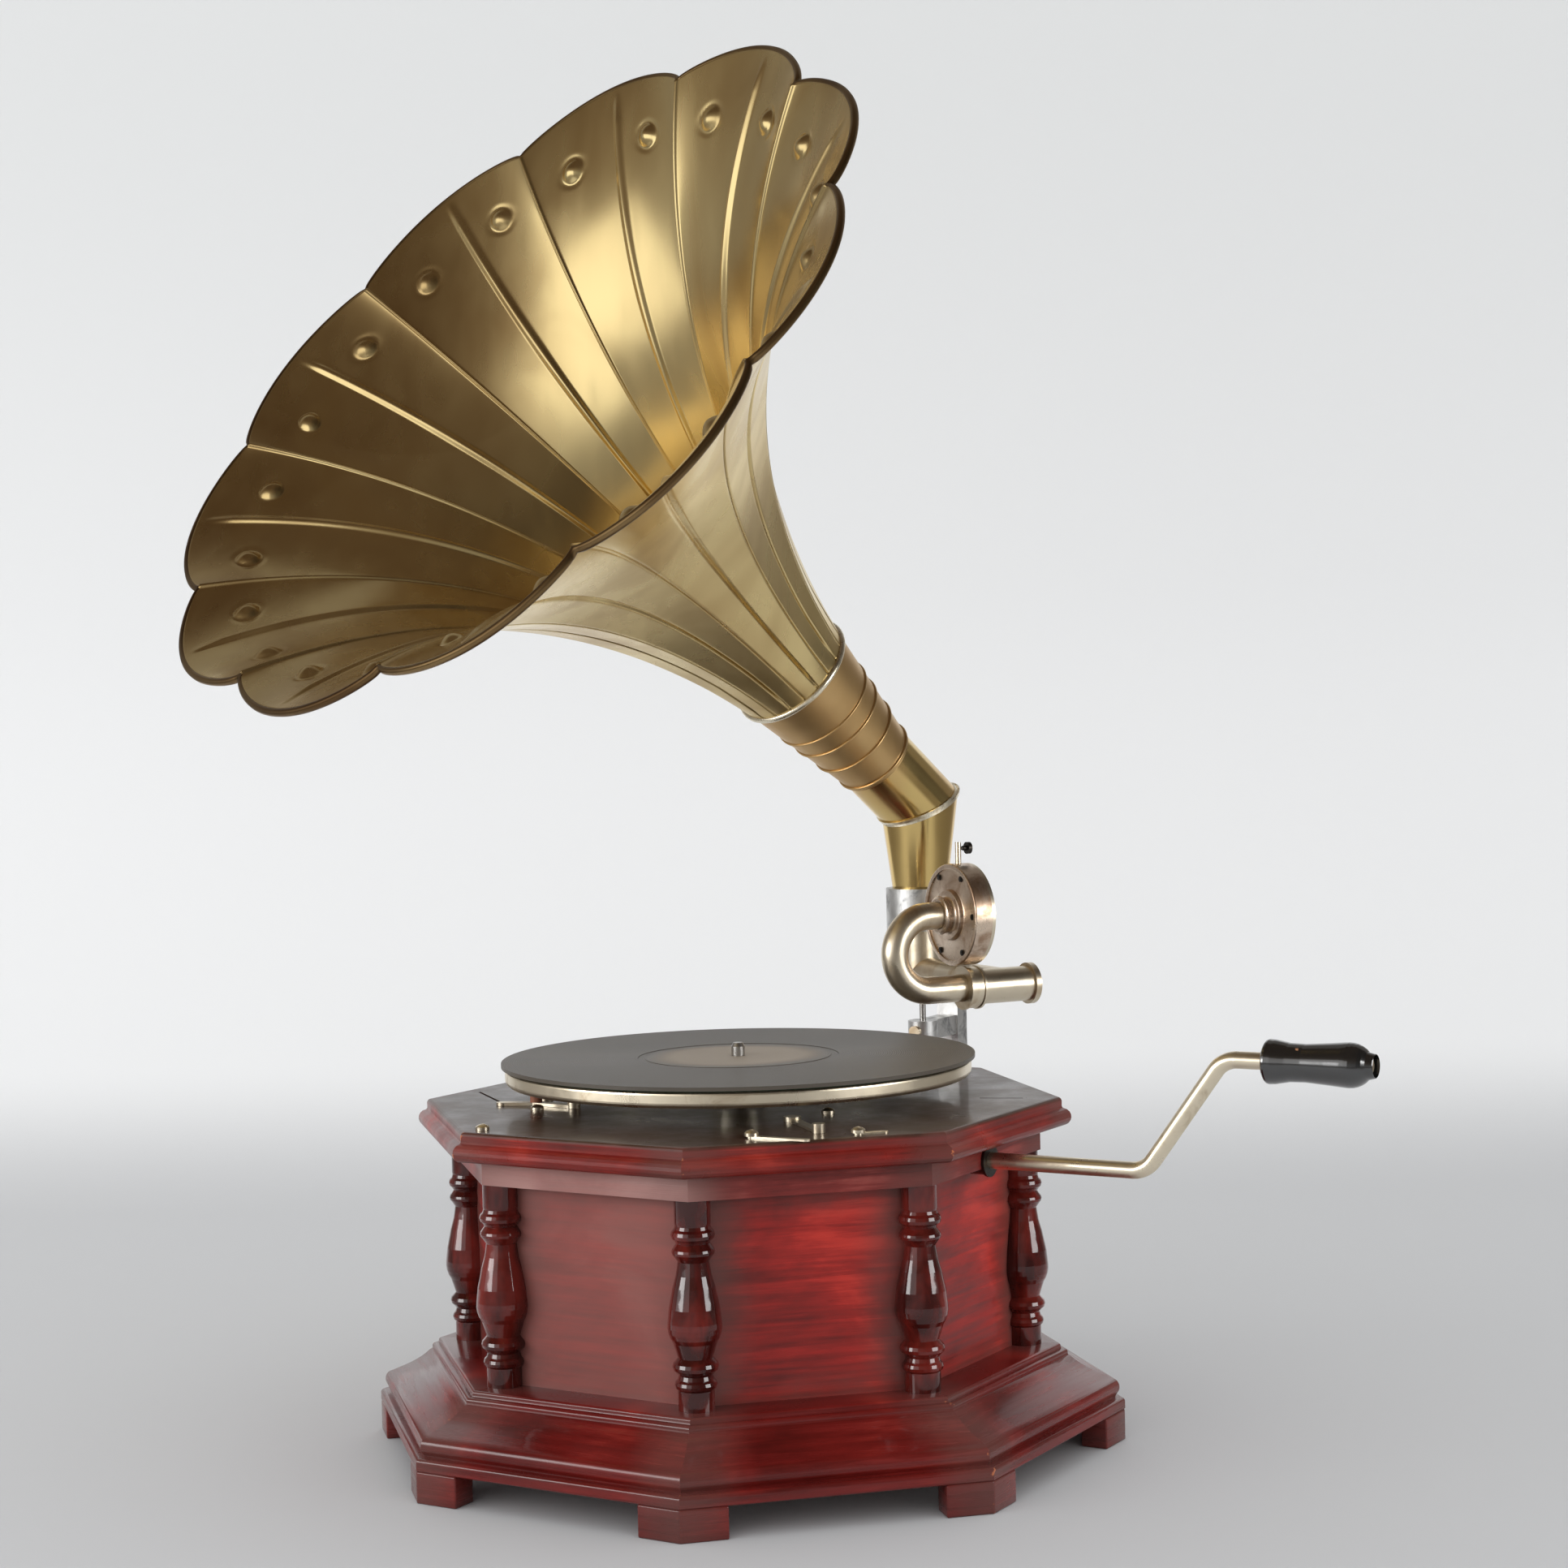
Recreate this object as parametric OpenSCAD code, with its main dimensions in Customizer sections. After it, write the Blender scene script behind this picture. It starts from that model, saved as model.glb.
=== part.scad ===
// Horn gramophone: an octagonal wooden case with a spring motor, a turntable,
// a gooseneck tone arm and a petalled brass horn on a cast back bracket.
// Millimetres, +Z up, front face towards -Y, crank on the +X face.
// The origin is on the floor, under the turntable spindle.

/* [Case] */
// Corner radius of the octagon of side boards
case_r = 147; // [140:1:152]
// Thickness of the side boards
board_t = 9; // [6:0.5:12]
// Glue line left between neighbouring boards
mitre_gap = 0.12; // [0.05:0.01:0.3]
// Thickness of the bottom board
bottom_t = 6; // [4:0.5:10]
// Height of the case floor above the table
bottom_z = 22; // [20:1:30]
// Overhang of the frieze's corners beyond the side boards
frieze_over = 14; // [13:0.5:18]
// Height of the frieze
frieze_h = 12; // [12:0.5:16]

/* [Plinth] */
// Spread of the plinth's corners from its top edge down to its feet
plinth_spread = 36; // [30:1:42]
// Overhang of the plinth's top corners beyond the side boards
plinth_over = 20; // [17:1:25]
// Height of the plinth, where the columns stand
plinth_h = 51; // [46:1:58]
// Height of the cut-out between the bracket feet
foot_h = 16; // [10:1:18]
// Length of a bracket foot along each side
foot_len = 24; // [18:1:36]
// Thickness of the plinth's lower wall
plinth_wall = 16; // [12:1:24]

/* [Columns] */
// Height of a turned corner column
column_h = 103; // [95:1:120]
// Distance of a column's axis outside the corner of the side boards
column_over = 3.5; // [3:0.5:4.5]
// Radius of a column's plain ends
column_r = 9; // [8:0.5:9.5]
// Radius of a column's belly
belly_r = 13.5; // [11:0.5:15]

/* [Top board] */
// Overhang of the top board's corners beyond the frieze
top_over = 16.7; // [13:0.1:20]
// Width of the top board's moulding at a corner
top_nose = 7.7; // [6:0.1:9]
// Thickness of the top board
top_t = 16; // [14:0.5:20]

/* [Turntable] */
// Gap between the top board and the platter's rim
platter_gap = 11.8; // [11:0.1:16]
// Radius of the platter
platter_r = 125; // [115:1:127]
// Height of the platter's rim
platter_h = 8; // [7:0.5:12]
// Sheet thickness of the platter
platter_t = 2.6; // [2:0.1:3.5]
// Width of the platter's rim, seen from below
platter_rim_w = 10.5; // [8:0.5:11]
// Thickness of the felt
felt_t = 1; // [0.5:0.1:2]
// Radius of the record
record_r = 127; // [110:1:127]
// Thickness of the record
record_t = 2; // [1.5:0.1:3]
// Radius of the record's label
label_r = 50; // [35:1:55]
// Diameter of the spindle pin that records fit on
pin_d = 7.2; // [6.8:0.05:7.3]
// Height of the spindle pin above the record
pin_rise = 7; // [4:0.5:12]
// Diameter of the spindle below the platter
spindle_d = 9; // [8:0.5:11]

/* [Crank] */
// Diameter of the crank rod
crank_d = 8.5; // [7:0.1:9]
// Depth of the crank axis below the top of the frieze
crank_drop = 8.5; // [8:0.1:10]
// Distance from the spindle to the crank's first bend
crank_bend_x = 236; // [215:1:250]
// Run of the crank's sloping part along the axis
crank_slope_run = 42; // [36:1:60]
// Distance between the crank axis and the handle axis
crank_throw = 57.5; // [45:0.5:90]
// Radius of the crank's bends
crank_bend_r = 14; // [12:1:17]
// Distance from the sloping part to the handle
crank_neck = 22; // [18:1:30]
// Length of the wooden handle
handle_l = 56; // [45:1:90]
// Greatest diameter of the handle
handle_d = 22; // [18:1:26]
// Outside diameter of the bush in the frieze
bush_d = 15; // [13:0.5:16]

/* [Back bracket] */
// Distance from the spindle to the tone arm's upright axis
pivot_y = 212; // [208:1:220]
// Height of the top of the horn socket
socket_top = 281; // [276:1:290]
// Outside diameter of the horn socket
socket_d = 41; // [40:1:46]
// Height of the horn socket
socket_h = 25; // [22:1:30]
// Distance of the bracket's post behind the upright axis
post_back = 38; // [32:1:44]
// Width of the bracket casting
bracket_w = 14; // [12:1:20]
// Thickness of the bracket casting seen from the side
bracket_t = 12; // [10:1:15]
// Width of the foot plate on the back of the case
foot_plate_w = 62; // [50:1:70]
// Height of the foot plate
foot_plate_h = 70; // [60:1:80]
// Height of the bracket's lower arm above the table
bracket_low_z = 96; // [88:1:110]
// Diameter of the pin that the tone arm turns on
pivot_pin_d = 3.8; // [3:0.1:5]
// Height of the top of the pin's lug above the table
lug_top = 201; // [198:0.5:204]

/* [Tone arm] */
// Height of the tone arm's axis above the record
arm_rise = 24.5; // [24:0.5:28]
// Length of the arm from its upright axis to the cross tube
arm_l = 91; // [84:1:100]
// Diameter of the arm tube
arm_d = 20; // [18:0.5:21]
// Wall thickness of the arm's tubes
arm_wall = 1.5; // [1:0.1:2]
// Direction of the parked arm, degrees from +X
arm_angle = -32.3; // [-45:0.1:-25]
// Length of the cross tube behind the arm
cross_rear = 17; // [15:0.5:24]
// Length of the cross tube in front of the arm
cross_front = 16; // [14:0.5:24]
// Length of the gooseneck's collar
collar_l = 10; // [8:0.5:14]
// Thickness of the flanged end cap
end_cap_t = 3.5; // [2.5:0.5:6]
// Diameter of the gooseneck tube
goose_d = 15.5; // [13:0.5:16]
// Distance between the gooseneck's two limbs
goose_span = 42; // [40:1:50]
// Distance from the arm to the centre of the gooseneck's bend
goose_reach = 48; // [46:0.5:60]

/* [Sound box] */
// Diameter of the sound box
box_d = 58; // [50:1:60]
// Depth of the sound box
box_t = 13; // [11:0.5:16]
// Distance from the arm to the back of the sound box
box_back = 33; // [30:0.5:34]
// Length of the sound box's hub
hub_l = 8; // [6:0.5:9]
// Wall thickness of the sound box
box_wall = 2.4; // [1.6:0.1:3]
// Length of the needle holder beyond the rim
holder_l = 12; // [8:0.5:14]
// Diameter of the needle holder
holder_d = 3.4; // [3:0.1:4]
// Diameter of the hole for the needle
needle_hole_d = 1.7; // [1.4:0.05:2]

/* [Horn] */
// Number of petals
petals = 11; // [8:1:12]
// Turn of the petals about the horn's axis, degrees
petal_turn = 17.3; // [0:0.1:32]
// Direction that the horn points in, degrees from +X
horn_angle = -106.3; // [-120:0.1:-60]
// Slope of the horn's axis above the level
horn_slope = 38.4; // [36:0.1:50]
// Height at which the horn's axis meets the upright axis
mitre_z = 331; // [326:1:345]
// Distance from that point to the rim
horn_l = 392; // [360:1:420]
// Radius of the rim at a notch between petals
notch_r = 211; // [190:1:215]
// Height of a petal's tip beyond the notches
petal_rise = 17; // [8:1:22]
// Distance from the mitre to the solder bead
bead_s = 130; // [124:1:140]
// Radius of the horn at the solder bead
bead_r = 35; // [32:0.5:38]
// Distance from the mitre to the lower end of the throat
throat_s = 46; // [42:1:56]
// Radius of the elbow where the throat begins
elbow_r = 23; // [21:0.5:24.5]
// Radius of the elbow's lower end, in the socket
spigot_r = 16.5; // [15:0.5:17.5]
// Thickness of the brass sheet
sheet_t = 1; // [0.8:0.1:1.5]
// Solder line left between neighbouring petals
seam_gap = 0.06; // [0.02:0.01:0.1]
// Height of the rib pressed into each petal's middle
rib_h = 1.6; // [0.8:0.1:2.2]
// Radius of the rolled rim
rim_bead_r = 2.2; // [1.6:0.1:2.6]

/* [Motor] */
// Height of the motor's bottom plate above the table
motor_low_z = 66; // [60:1:70]
// Height of the motor's top plate above the table
motor_top_z = 134; // [133:0.5:137]
// Thickness of the motor plates
plate_t = 2.5; // [2:0.1:4]
// Distance from the spindle to the spring barrel's axis
barrel_x = 62; // [61:0.5:66]
// Radius of the spring barrel
barrel_r = 35; // [30:0.5:35.5]
// Gear module of the train
gear_m = 1.5; // [1.5:0.1:1.5]
// Teeth on the barrel's wheel
barrel_teeth = 48; // [48:1:48]
// Teeth on each pinion
pinion_teeth = 10; // [10:1:10]
// Teeth on the second wheel
second_teeth = 40; // [40:1:40]
// Thickness of the wheels
wheel_t = 3; // [2:0.5:4]
// Radius of the winding crown wheel
crown_r = 22; // [20:0.5:24]
// Radius of the governor's discs
governor_r = 13; // [11:0.5:15]

/* [Controls] */
// Length of the flat strips on the top board
strip_l = 30; // [20:1:32]
// Distance from the spindle to the speed lever's pivot
speed_pivot_r = 95; // [92:1:98]
// Length of the speed lever to its knob
speed_lever_l = 43; // [38:1:45]
// Diameter of the speed lever's knob
knob_d = 6.5; // [5:0.5:8]
// Diameter of the brake's leather pad
pad_d = 6.4; // [5:0.2:6.4]

/* [Fits] */
// Running clearance round a shaft or pin, on the radius
run_gap = 0.05; // [0.02:0.01:0.1]
// Gap between pieces that only face each other
face_gap = 0.1; // [0.05:0.05:0.3]
// Clearance left round pieces that move past each other
safe_gap = 0.4; // [0.3:0.1:1]
// Shank diameter of the wood screws
screw_d = 4; // [3:0.5:5]
// Head diameter of the wood screws
screw_head_d = 7; // [6:0.5:9]

/* [Hidden] */
$fn = 64;
deg8 = 22.5;
flat8 = cos(deg8);
frieze_r = case_r + frieze_over;
plinth_top_r = case_r + plinth_over;
plinth_r = plinth_top_r + plinth_spread;
column_pitch_r = case_r + column_over;
top_r = frieze_r + top_over;
top_flat_r = top_r - top_nose;
frieze_z = plinth_h + column_h;
top_under = frieze_z + frieze_h;
top_z = top_under + top_t;
case_ap = case_r * flat8;
frieze_ap = frieze_r * flat8;
platter_z = top_z + platter_gap;
platter_top = platter_z + platter_h;
felt_top = platter_top + felt_t;
record_top = felt_top + record_t;
spindle_top = record_top + pin_rise;
crank_z = top_under - crank_drop;
arm_z = record_top + arm_rise;
goose_r = goose_span / 2;
cross_r = arm_d / 2;
collar_r = cross_r + 1.8;
box_r = box_d / 2;
bar_x = 6.4;
horn_tilt = 90 - horn_slope;
socket_floor = socket_top - 15;
riser_r = 11;
bell_rings = 11;
rim_step = 0.4;
flat_run = 40;
second_dx = (pow(gear_c(second_teeth), 2) - pow(gear_c(barrel_teeth), 2) + pow(barrel_x, 2))
    / (2 * barrel_x);
second_dy = -sqrt(pow(gear_c(second_teeth), 2) - pow(second_dx, 2));
barrel_z = motor_low_z + plate_t + 10;
barrel_wheel_z = motor_top_z - 16;
second_wheel_z = barrel_wheel_z + wheel_t + 2;
worm_z = motor_low_z + plate_t + 26;
worm_wheel_r = 15;
worm_r = 4;
governor_y = worm_wheel_r + worm_r + safe_gap;
governor_x0 = -66;
governor_x1 = 16;
plate_x0 = -80;
plate_x1 = 112;
plate_y0 = -52;
plate_y1 = 46;
pillar_r = 4;
crown_z = crank_z - 7.6;
winding_pinion_x = barrel_x + crown_r - 3;
handle_x0 = crank_bend_x + crank_slope_run + crank_neck;
brake_pivot = [-62, -66];
brake_pad_at = [-87.5, -64.5];
brake_handle_at = [-104, -72];
speed_dir = -42;
strip_at = [[80, -118.9, 2], [123.5, -90, 45]];
board_screw_at = [[80, -118.9], [123.5, -90], [-76.4, -79], [-91, -50], [74, -33], [-61, -148]];
slit_at = [[-148, -34, -39], [121.4, 45.7, 21.3]];

// Distance between the axes of a wheel with n teeth and its pinion
function gear_c(n) = gear_m * (n + pinion_teeth) / 2;

// Points of an arc about a centre, from angle a to angle b in n steps
function arc(c, r, a, b, n) = [for (i = [0:n]) c + r * [cos(a + (b - a) * i / n), sin(a + (b - a) * i / n)]];

// Octagonal prism with a flat towards +X
module octagon(r, h) {
    rotate(deg8) cylinder(r = r, h = h, $fn = 8);
}

// Octagonal body whose outline is given as [corner radius, height] from the bottom up
module moulded_octagon(outline) {
    side = [for (p = outline) [p[0] * flat8, p[1]]];
    other = [for (i = [len(side) - 1:-1:0]) [-side[i][0], side[i][1]]];
    intersection_for (k = [0:3])
        rotate(45 * k) rotate([90, 0, 0])
            linear_extrude(height = 3 * plinth_r, center = true)
                polygon(concat(side, other));
}

// Toothed wheel outline with a tooth on +X
module gear_outline(n, m) {
    pitch = m * n / 2;
    root = pitch - 1.2 * m;
    tip = pitch + 0.85 * m;
    step = 360 / n;
    polygon([for (i = [0:n - 1]) for (c = [[-0.3, root], [-0.1, tip], [0.1, tip], [0.3, root]])
        c[1] * [cos(step * (i + c[0])), sin(step * (i + c[0]))]]);
}

// Countersunk wood screw pointing down, its head's underside at the origin
module wood_screw(l) {
    translate([0, 0, -l]) cylinder(d = screw_d, h = l + 0.2);
    difference() {
        intersection() {
            cylinder(d = screw_head_d, h = 3);
            translate([0, 0, 3 - screw_head_d * 0.7]) sphere(r = screw_head_d * 0.7);
        }
        translate([-screw_head_d, -0.4, 1.9]) cube([2 * screw_head_d, 0.8, 2]);
    }
}

// Straight tube along +X
module tube_x(x0, x1, r) {
    translate([x0, 0, 0]) rotate([0, 90, 0]) cylinder(r = r, h = x1 - x0);
}

module plinth() {
    r = plinth_r;
    t = plinth_top_r;
    slope_top = [t + 7, plinth_h - 7];
    slope_foot = [r - 7, 31];
    mid = (slope_top + slope_foot) / 2;
    outline = concat(
        [[r - 1, 0], [r, 1], [r, foot_h + 4]],
        arc([r - 2, foot_h + 4], 2, 0, 90, 3),
        [[r - 5, foot_h + 6.5]],
        arc([r - 6.5, foot_h + 9.5], 3, -60, 70, 5),
        [slope_foot, mid + [-1.6, -1.2], mid + [1.2, 1.4], slope_top],
        arc([t + 4.5, plinth_h - 4.8], 1.8, 0, 90, 3),
        arc([t + 1, plinth_h - 1.5], 1.5, 0, 90, 3));
    color("#5a1d18") difference() {
        moulded_octagon(outline);
        translate([0, 0, bottom_z - 4]) octagon(case_r + face_gap / 2, plinth_h);
        translate([0, 0, -1]) octagon(plinth_r - plinth_wall, bottom_z - 4.9 + 1);
        translate([0, 0, -1]) octagon(case_r - board_t, plinth_h);
        for (k = [0:3]) rotate(45 * k)
            translate([0, 0, foot_h / 2 - 0.5])
                cube([3 * plinth_r, 2 * (plinth_r * sin(deg8) - foot_len), foot_h + 1], center = true);
    }
}

module bottom_board() {
    color("#7a5a3c") translate([0, 0, bottom_z])
        octagon(case_r - (board_t + face_gap) / flat8, bottom_t);
}

module side_boards() {
    h = top_under - bottom_z + 4;
    half = case_r * sin(deg8);
    color("#6b2420") for (k = [0:7]) rotate(45 * k) difference() {
        translate([0, 0, bottom_z - 4])
            linear_extrude(height = h)
                polygon([[case_ap, half - mitre_gap], [case_ap, mitre_gap - half],
                    [case_ap - board_t, mitre_gap - half + board_t * tan(deg8)],
                    [case_ap - board_t, half - mitre_gap - board_t * tan(deg8)]]);
        if (k == 0) translate([0, 0, crank_z]) tube_x(0, case_ap + 1, bush_d / 2 + run_gap);
    }
}

module frieze() {
    color("#6e2822") difference() {
        translate([0, 0, frieze_z]) octagon(frieze_r, frieze_h);
        translate([0, 0, frieze_z - 1]) octagon(case_r + face_gap / 2, frieze_h + 2);
        translate([0, 0, crank_z]) tube_x(0, frieze_ap + 1, bush_d / 2 + run_gap);
    }
}

module top_board() {
    r = top_r;
    z = top_under;
    outline = concat(
        [[frieze_r + 2, z], [r - 4, z + 1]],
        arc([r - 4.5, z + 5.5], 4.5, -70, 60, 6),
        [[r - 4.5, z + 10.2], [r - 5, z + 11.2]],
        arc([top_flat_r + 0.4, z + top_t - 2.4], 2.4, 10, 90, 3),
        [[top_flat_r, z + top_t]]);
    color("#6b231d") difference() {
        moulded_octagon(outline);
        translate([0, 0, z - 1]) cylinder(r = spindle_d / 2 + 5 + run_gap, h = top_t + 2);
        for (p = concat([brake_pivot], board_screw_at))
            translate([p[0], p[1], z - 1]) cylinder(d = screw_d + 2 * run_gap, h = top_t + 2);
        rotate(speed_dir) translate([speed_pivot_r, 0, z - 1])
            cylinder(d = screw_d + 1 + 2 * run_gap, h = top_t + 2);
        for (p = hanger_points())
            translate([p[0], p[1], z - 1]) cylinder(d = screw_d + 2 * run_gap, h = top_t - 3);
        for (p = slit_at) translate([p[0], p[1], top_z - 3]) rotate(p[2])
            translate([0, -0.8, 0]) cube([p[2] < 0 ? 50 : 23, 1.6, 4]);
    }
}

// Places of the sleeves that hang the motor from the top board
function hanger_points() = [for (x = [plate_x0 + 8, plate_x1 - 8]) for (y = [plate_y0 + 8, plate_y1 - 8]) [x, y]];

module corner_columns() {
    h = column_h;
    top = h - face_gap;
    profile = concat(
        [[0, face_gap / 2], [column_r, face_gap / 2], [column_r, 9]],
        arc([column_r - 1.6, 12.4], 3.1, -60, 60, 4),
        [[column_r - 0.6, 17]],
        arc([column_r - 1, 21.4], 3.4, -60, 60, 4),
        [[column_r - 0.4, 25.6]],
        arc([belly_r - 14, 41], 14, -35, 8, 4),
        [[belly_r - 0.9, 50], [belly_r - 3, 60], [column_r - 0.2, 66], [column_r - 1.2, 72.5]],
        [[column_r - 0.2, 74]],
        arc([column_r - 1.2, 77.4], 2.9, -50, 50, 4),
        [[column_r - 0.6, 81.4]],
        arc([column_r - 1.4, 85.6], 3.3, -60, 60, 4),
        [[column_r - 0.2, 90], [column_r, 91], [column_r, top], [0, top]]);
    color("#3a100e") for (k = [0:7]) rotate(deg8 + 45 * k) difference() {
        translate([column_pitch_r, 0, plinth_h]) rotate_extrude() polygon(profile);
        rotate(-deg8) translate([0, 0, plinth_h - 1]) octagon(case_r + face_gap / 2, h + 2);
    }
}

// Flat bar bent to a curve: a sector of a ring in the YZ plane
module bend_yz(y, z, r, a, b) {
    translate([0, y, z]) rotate([90, 0, 90])
        rotate(a) rotate_extrude(angle = b - a)
            translate([r - bracket_t / 2, -bracket_w / 2]) square([bracket_t, bracket_w]);
}

module back_bracket() {
    post_y = pivot_y + post_back;
    low_r = 40;
    high_r = 26;
    plate_y = case_ap + face_gap / 2;
    bar_y = ceil(plate_y + 3);
    plate_z = bracket_low_z - foot_plate_h / 2;
    color("#9a9c9e") difference() {
        union() {
            translate([-foot_plate_w / 2, plate_y, plate_z]) difference() {
                cube([foot_plate_w, 6, foot_plate_h]);
                for (s = [-1, 1]) translate([foot_plate_w / 2 * (1 + s), -1, foot_plate_h / 2])
                    rotate([-90, 0, 0]) cylinder(r = 14, h = 8);
            }
            translate([-bracket_w / 2, bar_y, bracket_low_z - bracket_t / 2])
                cube([bracket_w, post_y - low_r - bar_y, bracket_t]);
            bend_yz(post_y - low_r, bracket_low_z + low_r, low_r, -90, 0);
            translate([-bracket_w / 2, post_y - bracket_t / 2, bracket_low_z + low_r])
                cube([bracket_w, bracket_t, socket_top - socket_h / 2 - high_r - bracket_low_z - low_r]);
            bend_yz(post_y - high_r, socket_top - socket_h / 2 - high_r, high_r, 0, 90);
            translate([0, pivot_y, socket_top - socket_h]) cylinder(d = socket_d, h = socket_h);
            translate([0, pivot_y, lug_top - 11.5]) cylinder(r = 9, h = 11.5);
            translate([-bracket_w / 2 + 1, pivot_y, lug_top - 11.5])
                cube([bracket_w - 2, post_back, 11.5]);
            translate([-4, bar_y, bracket_low_z - 26]) rotate([90, 0, 90])
                linear_extrude(height = 8) polygon([[0, 0], [30, 22], [0, 22]]);
        }
        translate([0, pivot_y, socket_floor]) cylinder(r = spigot_r + run_gap, h = 20);
        translate([0, pivot_y, socket_top - socket_h - 20]) cylinder(r = riser_r + run_gap, h = 40);
        translate([0, pivot_y, lug_top - 7]) cylinder(d = pivot_pin_d, h = 10);
        on_pin_screw() translate([0, 0, -9]) cylinder(d = screw_d + 2 * run_gap, h = 18);
        for (p = bracket_points()) translate([p[0], plate_y - 1, p[1]])
            rotate([-90, 0, 0]) cylinder(d = screw_d + 2 * face_gap, h = 10);
    }
}

// Places of the screws in the bracket's foot plate, as [x, z]
function bracket_points() = [for (x = [-1, 1]) for (z = [-1, 1])
    [x * (foot_plate_w / 2 - 8), bracket_low_z + z * (foot_plate_h / 2 - 8)]];

module bracket_screws() {
    color("#6f6a62") for (p = bracket_points())
        translate([p[0], case_ap + 6 + face_gap / 2, p[1]]) rotate([-90, 0, 0])
            wood_screw(6 + face_gap / 2);
}

// Frame of the screw that holds the pin: +Z out of the lug's front
module on_pin_screw() {
    translate([0, pivot_y, lug_top - 6]) rotate([90, 0, 0]) rotate(0) translate([0, 0, 9]) children();
}

module pin_screw() {
    color("#cfc6b0") on_pin_screw() difference() {
        union() {
            translate([0, 0, -9 + pivot_pin_d / 2 + face_gap]) cylinder(d = screw_d, h = 9 - pivot_pin_d / 2);
            translate([0, 0, 0]) cylinder(d = screw_head_d, h = 3);
        }
        translate([-screw_head_d, -0.4, 2]) cube([2 * screw_head_d, 0.8, 2]);
    }
}

module pivot_pin() {
    color("#b8ad94") translate([0, pivot_y, lug_top - 7])
        cylinder(d = pivot_pin_d, h = arm_z - arm_d / 2 - 2 - lug_top + 7);
}

// Frame of the horn: the mitre at the origin, +Z along the horn
module on_horn() {
    translate([0, pivot_y, mitre_z]) rotate(horn_angle) rotate([0, horn_tilt, 0]) children();
}

// Half space above the elbow's mitre
module above_mitre() {
    translate([0, pivot_y, mitre_z]) rotate(horn_angle) rotate([0, horn_tilt / 2, 0])
        translate([-200, -200, 0]) cube(400);
}

// Half space below the elbow's mitre
module below_mitre() {
    translate([0, pivot_y, mitre_z]) rotate(horn_angle) rotate([0, horn_tilt / 2, 0])
        translate([-200, -200, -400]) cube(400);
}

// Solid inside of the elbow's two legs, made thinner by t
module elbow_legs(t) {
    ends = t > 0 ? 1 : 0;
    cone_h = mitre_z + 30 - socket_top;
    grow = (elbow_r - spigot_r) * (cone_h / (mitre_z - socket_top));
    intersection() {
        on_horn() translate([0, 0, -40]) cylinder(r = elbow_r - t, h = 40 + throat_s + 4 + ends);
        above_mitre();
    }
    intersection() {
        union() {
            translate([0, pivot_y, socket_top])
                cylinder(r1 = spigot_r - t, r2 = spigot_r + grow - t, h = cone_h);
            translate([0, pivot_y, socket_floor + face_gap - ends])
                cylinder(r = spigot_r - t, h = socket_top - socket_floor - face_gap + ends + 0.01);
        }
        below_mitre();
    }
}

module horn_elbow() {
    color("#a07a3c") difference() {
        elbow_legs(0);
        elbow_legs(sheet_t);
    }
}

module horn_solder() {
    lift = (flare(bell_s(1)) - bead_r) / (bell_s(1) - rim_step - bead_s);
    seat_gap = 0.12;
    color("#d9d4c8") {
        difference() {
            intersection() {
                elbow_legs(-0.9);
                translate([0, pivot_y, mitre_z]) rotate(horn_angle) rotate([0, horn_tilt / 2, 0])
                    translate([-200, -200, -1.8]) cube([400, 400, 3.6]);
            }
            elbow_legs(-0.05);
        }
        on_horn() rotate_extrude() difference() {
            translate([bead_r + 0.3, bead_s]) circle(r = 2, $fn = 32);
            polygon([[0, bead_s - 5], [bead_r + seat_gap, bead_s - 5], [bead_r + seat_gap, bead_s],
                [bead_r + seat_gap + 5 * lift, bead_s + 5], [0, bead_s + 5]]);
        }
    }
}

module horn_throat() {
    s0 = throat_s;
    s1 = bead_s;
    r0 = elbow_r + run_gap;
    r1 = bead_r - sheet_t;
    t = sheet_t;
    rings = [0.03, 0.274, 0.488, 0.643];
    color("#a98344") on_horn() union() {
        rotate_extrude() polygon([[r0, s0], [r0 + t, s0], [r0 + t, s0 + 4.5],
            [r1 + t, s1], [r1, s1], [r0, s0 + 4.5]]);
        for (f = rings) translate([0, 0, s0 + f * (s1 - s0)])
            rotate_extrude() translate([r0 + (r1 - r0) * f + t * 0.8, 0]) circle(r = 0.9, $fn = 16);
    }
}

// Radius of the horn at distance s from the mitre, before the petals
function flare(s) = bead_r * pow(notch_r / bead_r, pow((s - bead_s) / (horn_l - bead_s), 1.1));

// Share of a petal's rise at turn u of one petal, from 0 in a seam to 1 in its middle
function petal(u) = pow(abs(sin(180 * u)), 0.75);

// Radius of a flat petal at share u of its width, as a share of the radius at its seams
function chord(u) = cos(180 / petals) / cos(360 / petals * (u - 0.5));

// Share of the petals' rise at distance s
function swell(s) = pow(max(0, s - bead_s) / (horn_l - bead_s), 6);

// Radius at distance s and share u, from the seams' radius r there: round at the bead, flat further out
function petal_r(s, u, r) =
    let (flat = min(1, max(0, s - bead_s) / flat_run))
    r * (1 - flat * (1 - chord(u))) + (petal_rise + notch_r * (1 - chord(0.5))) * swell(s) * petal(u);

// Distance of ring j of the bell from the mitre
function bell_s(j) = bead_s + (horn_l - bead_s) * pow(j / bell_rings, 0.8);

// Triangles that close one edge of a petal whose outline has m points, from point c on
function petal_edge(c, m, r) = concat(
    [for (j = [0:r - 1]) for (f = [[j, j + 1, m - 2 - j], [j, m - 2 - j, m - 1 - j]]) [for (v = f) v + c]],
    [for (j = [0:4]) [r + 6 + c, r + j + c, r + j + 1 + c]]);

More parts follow.
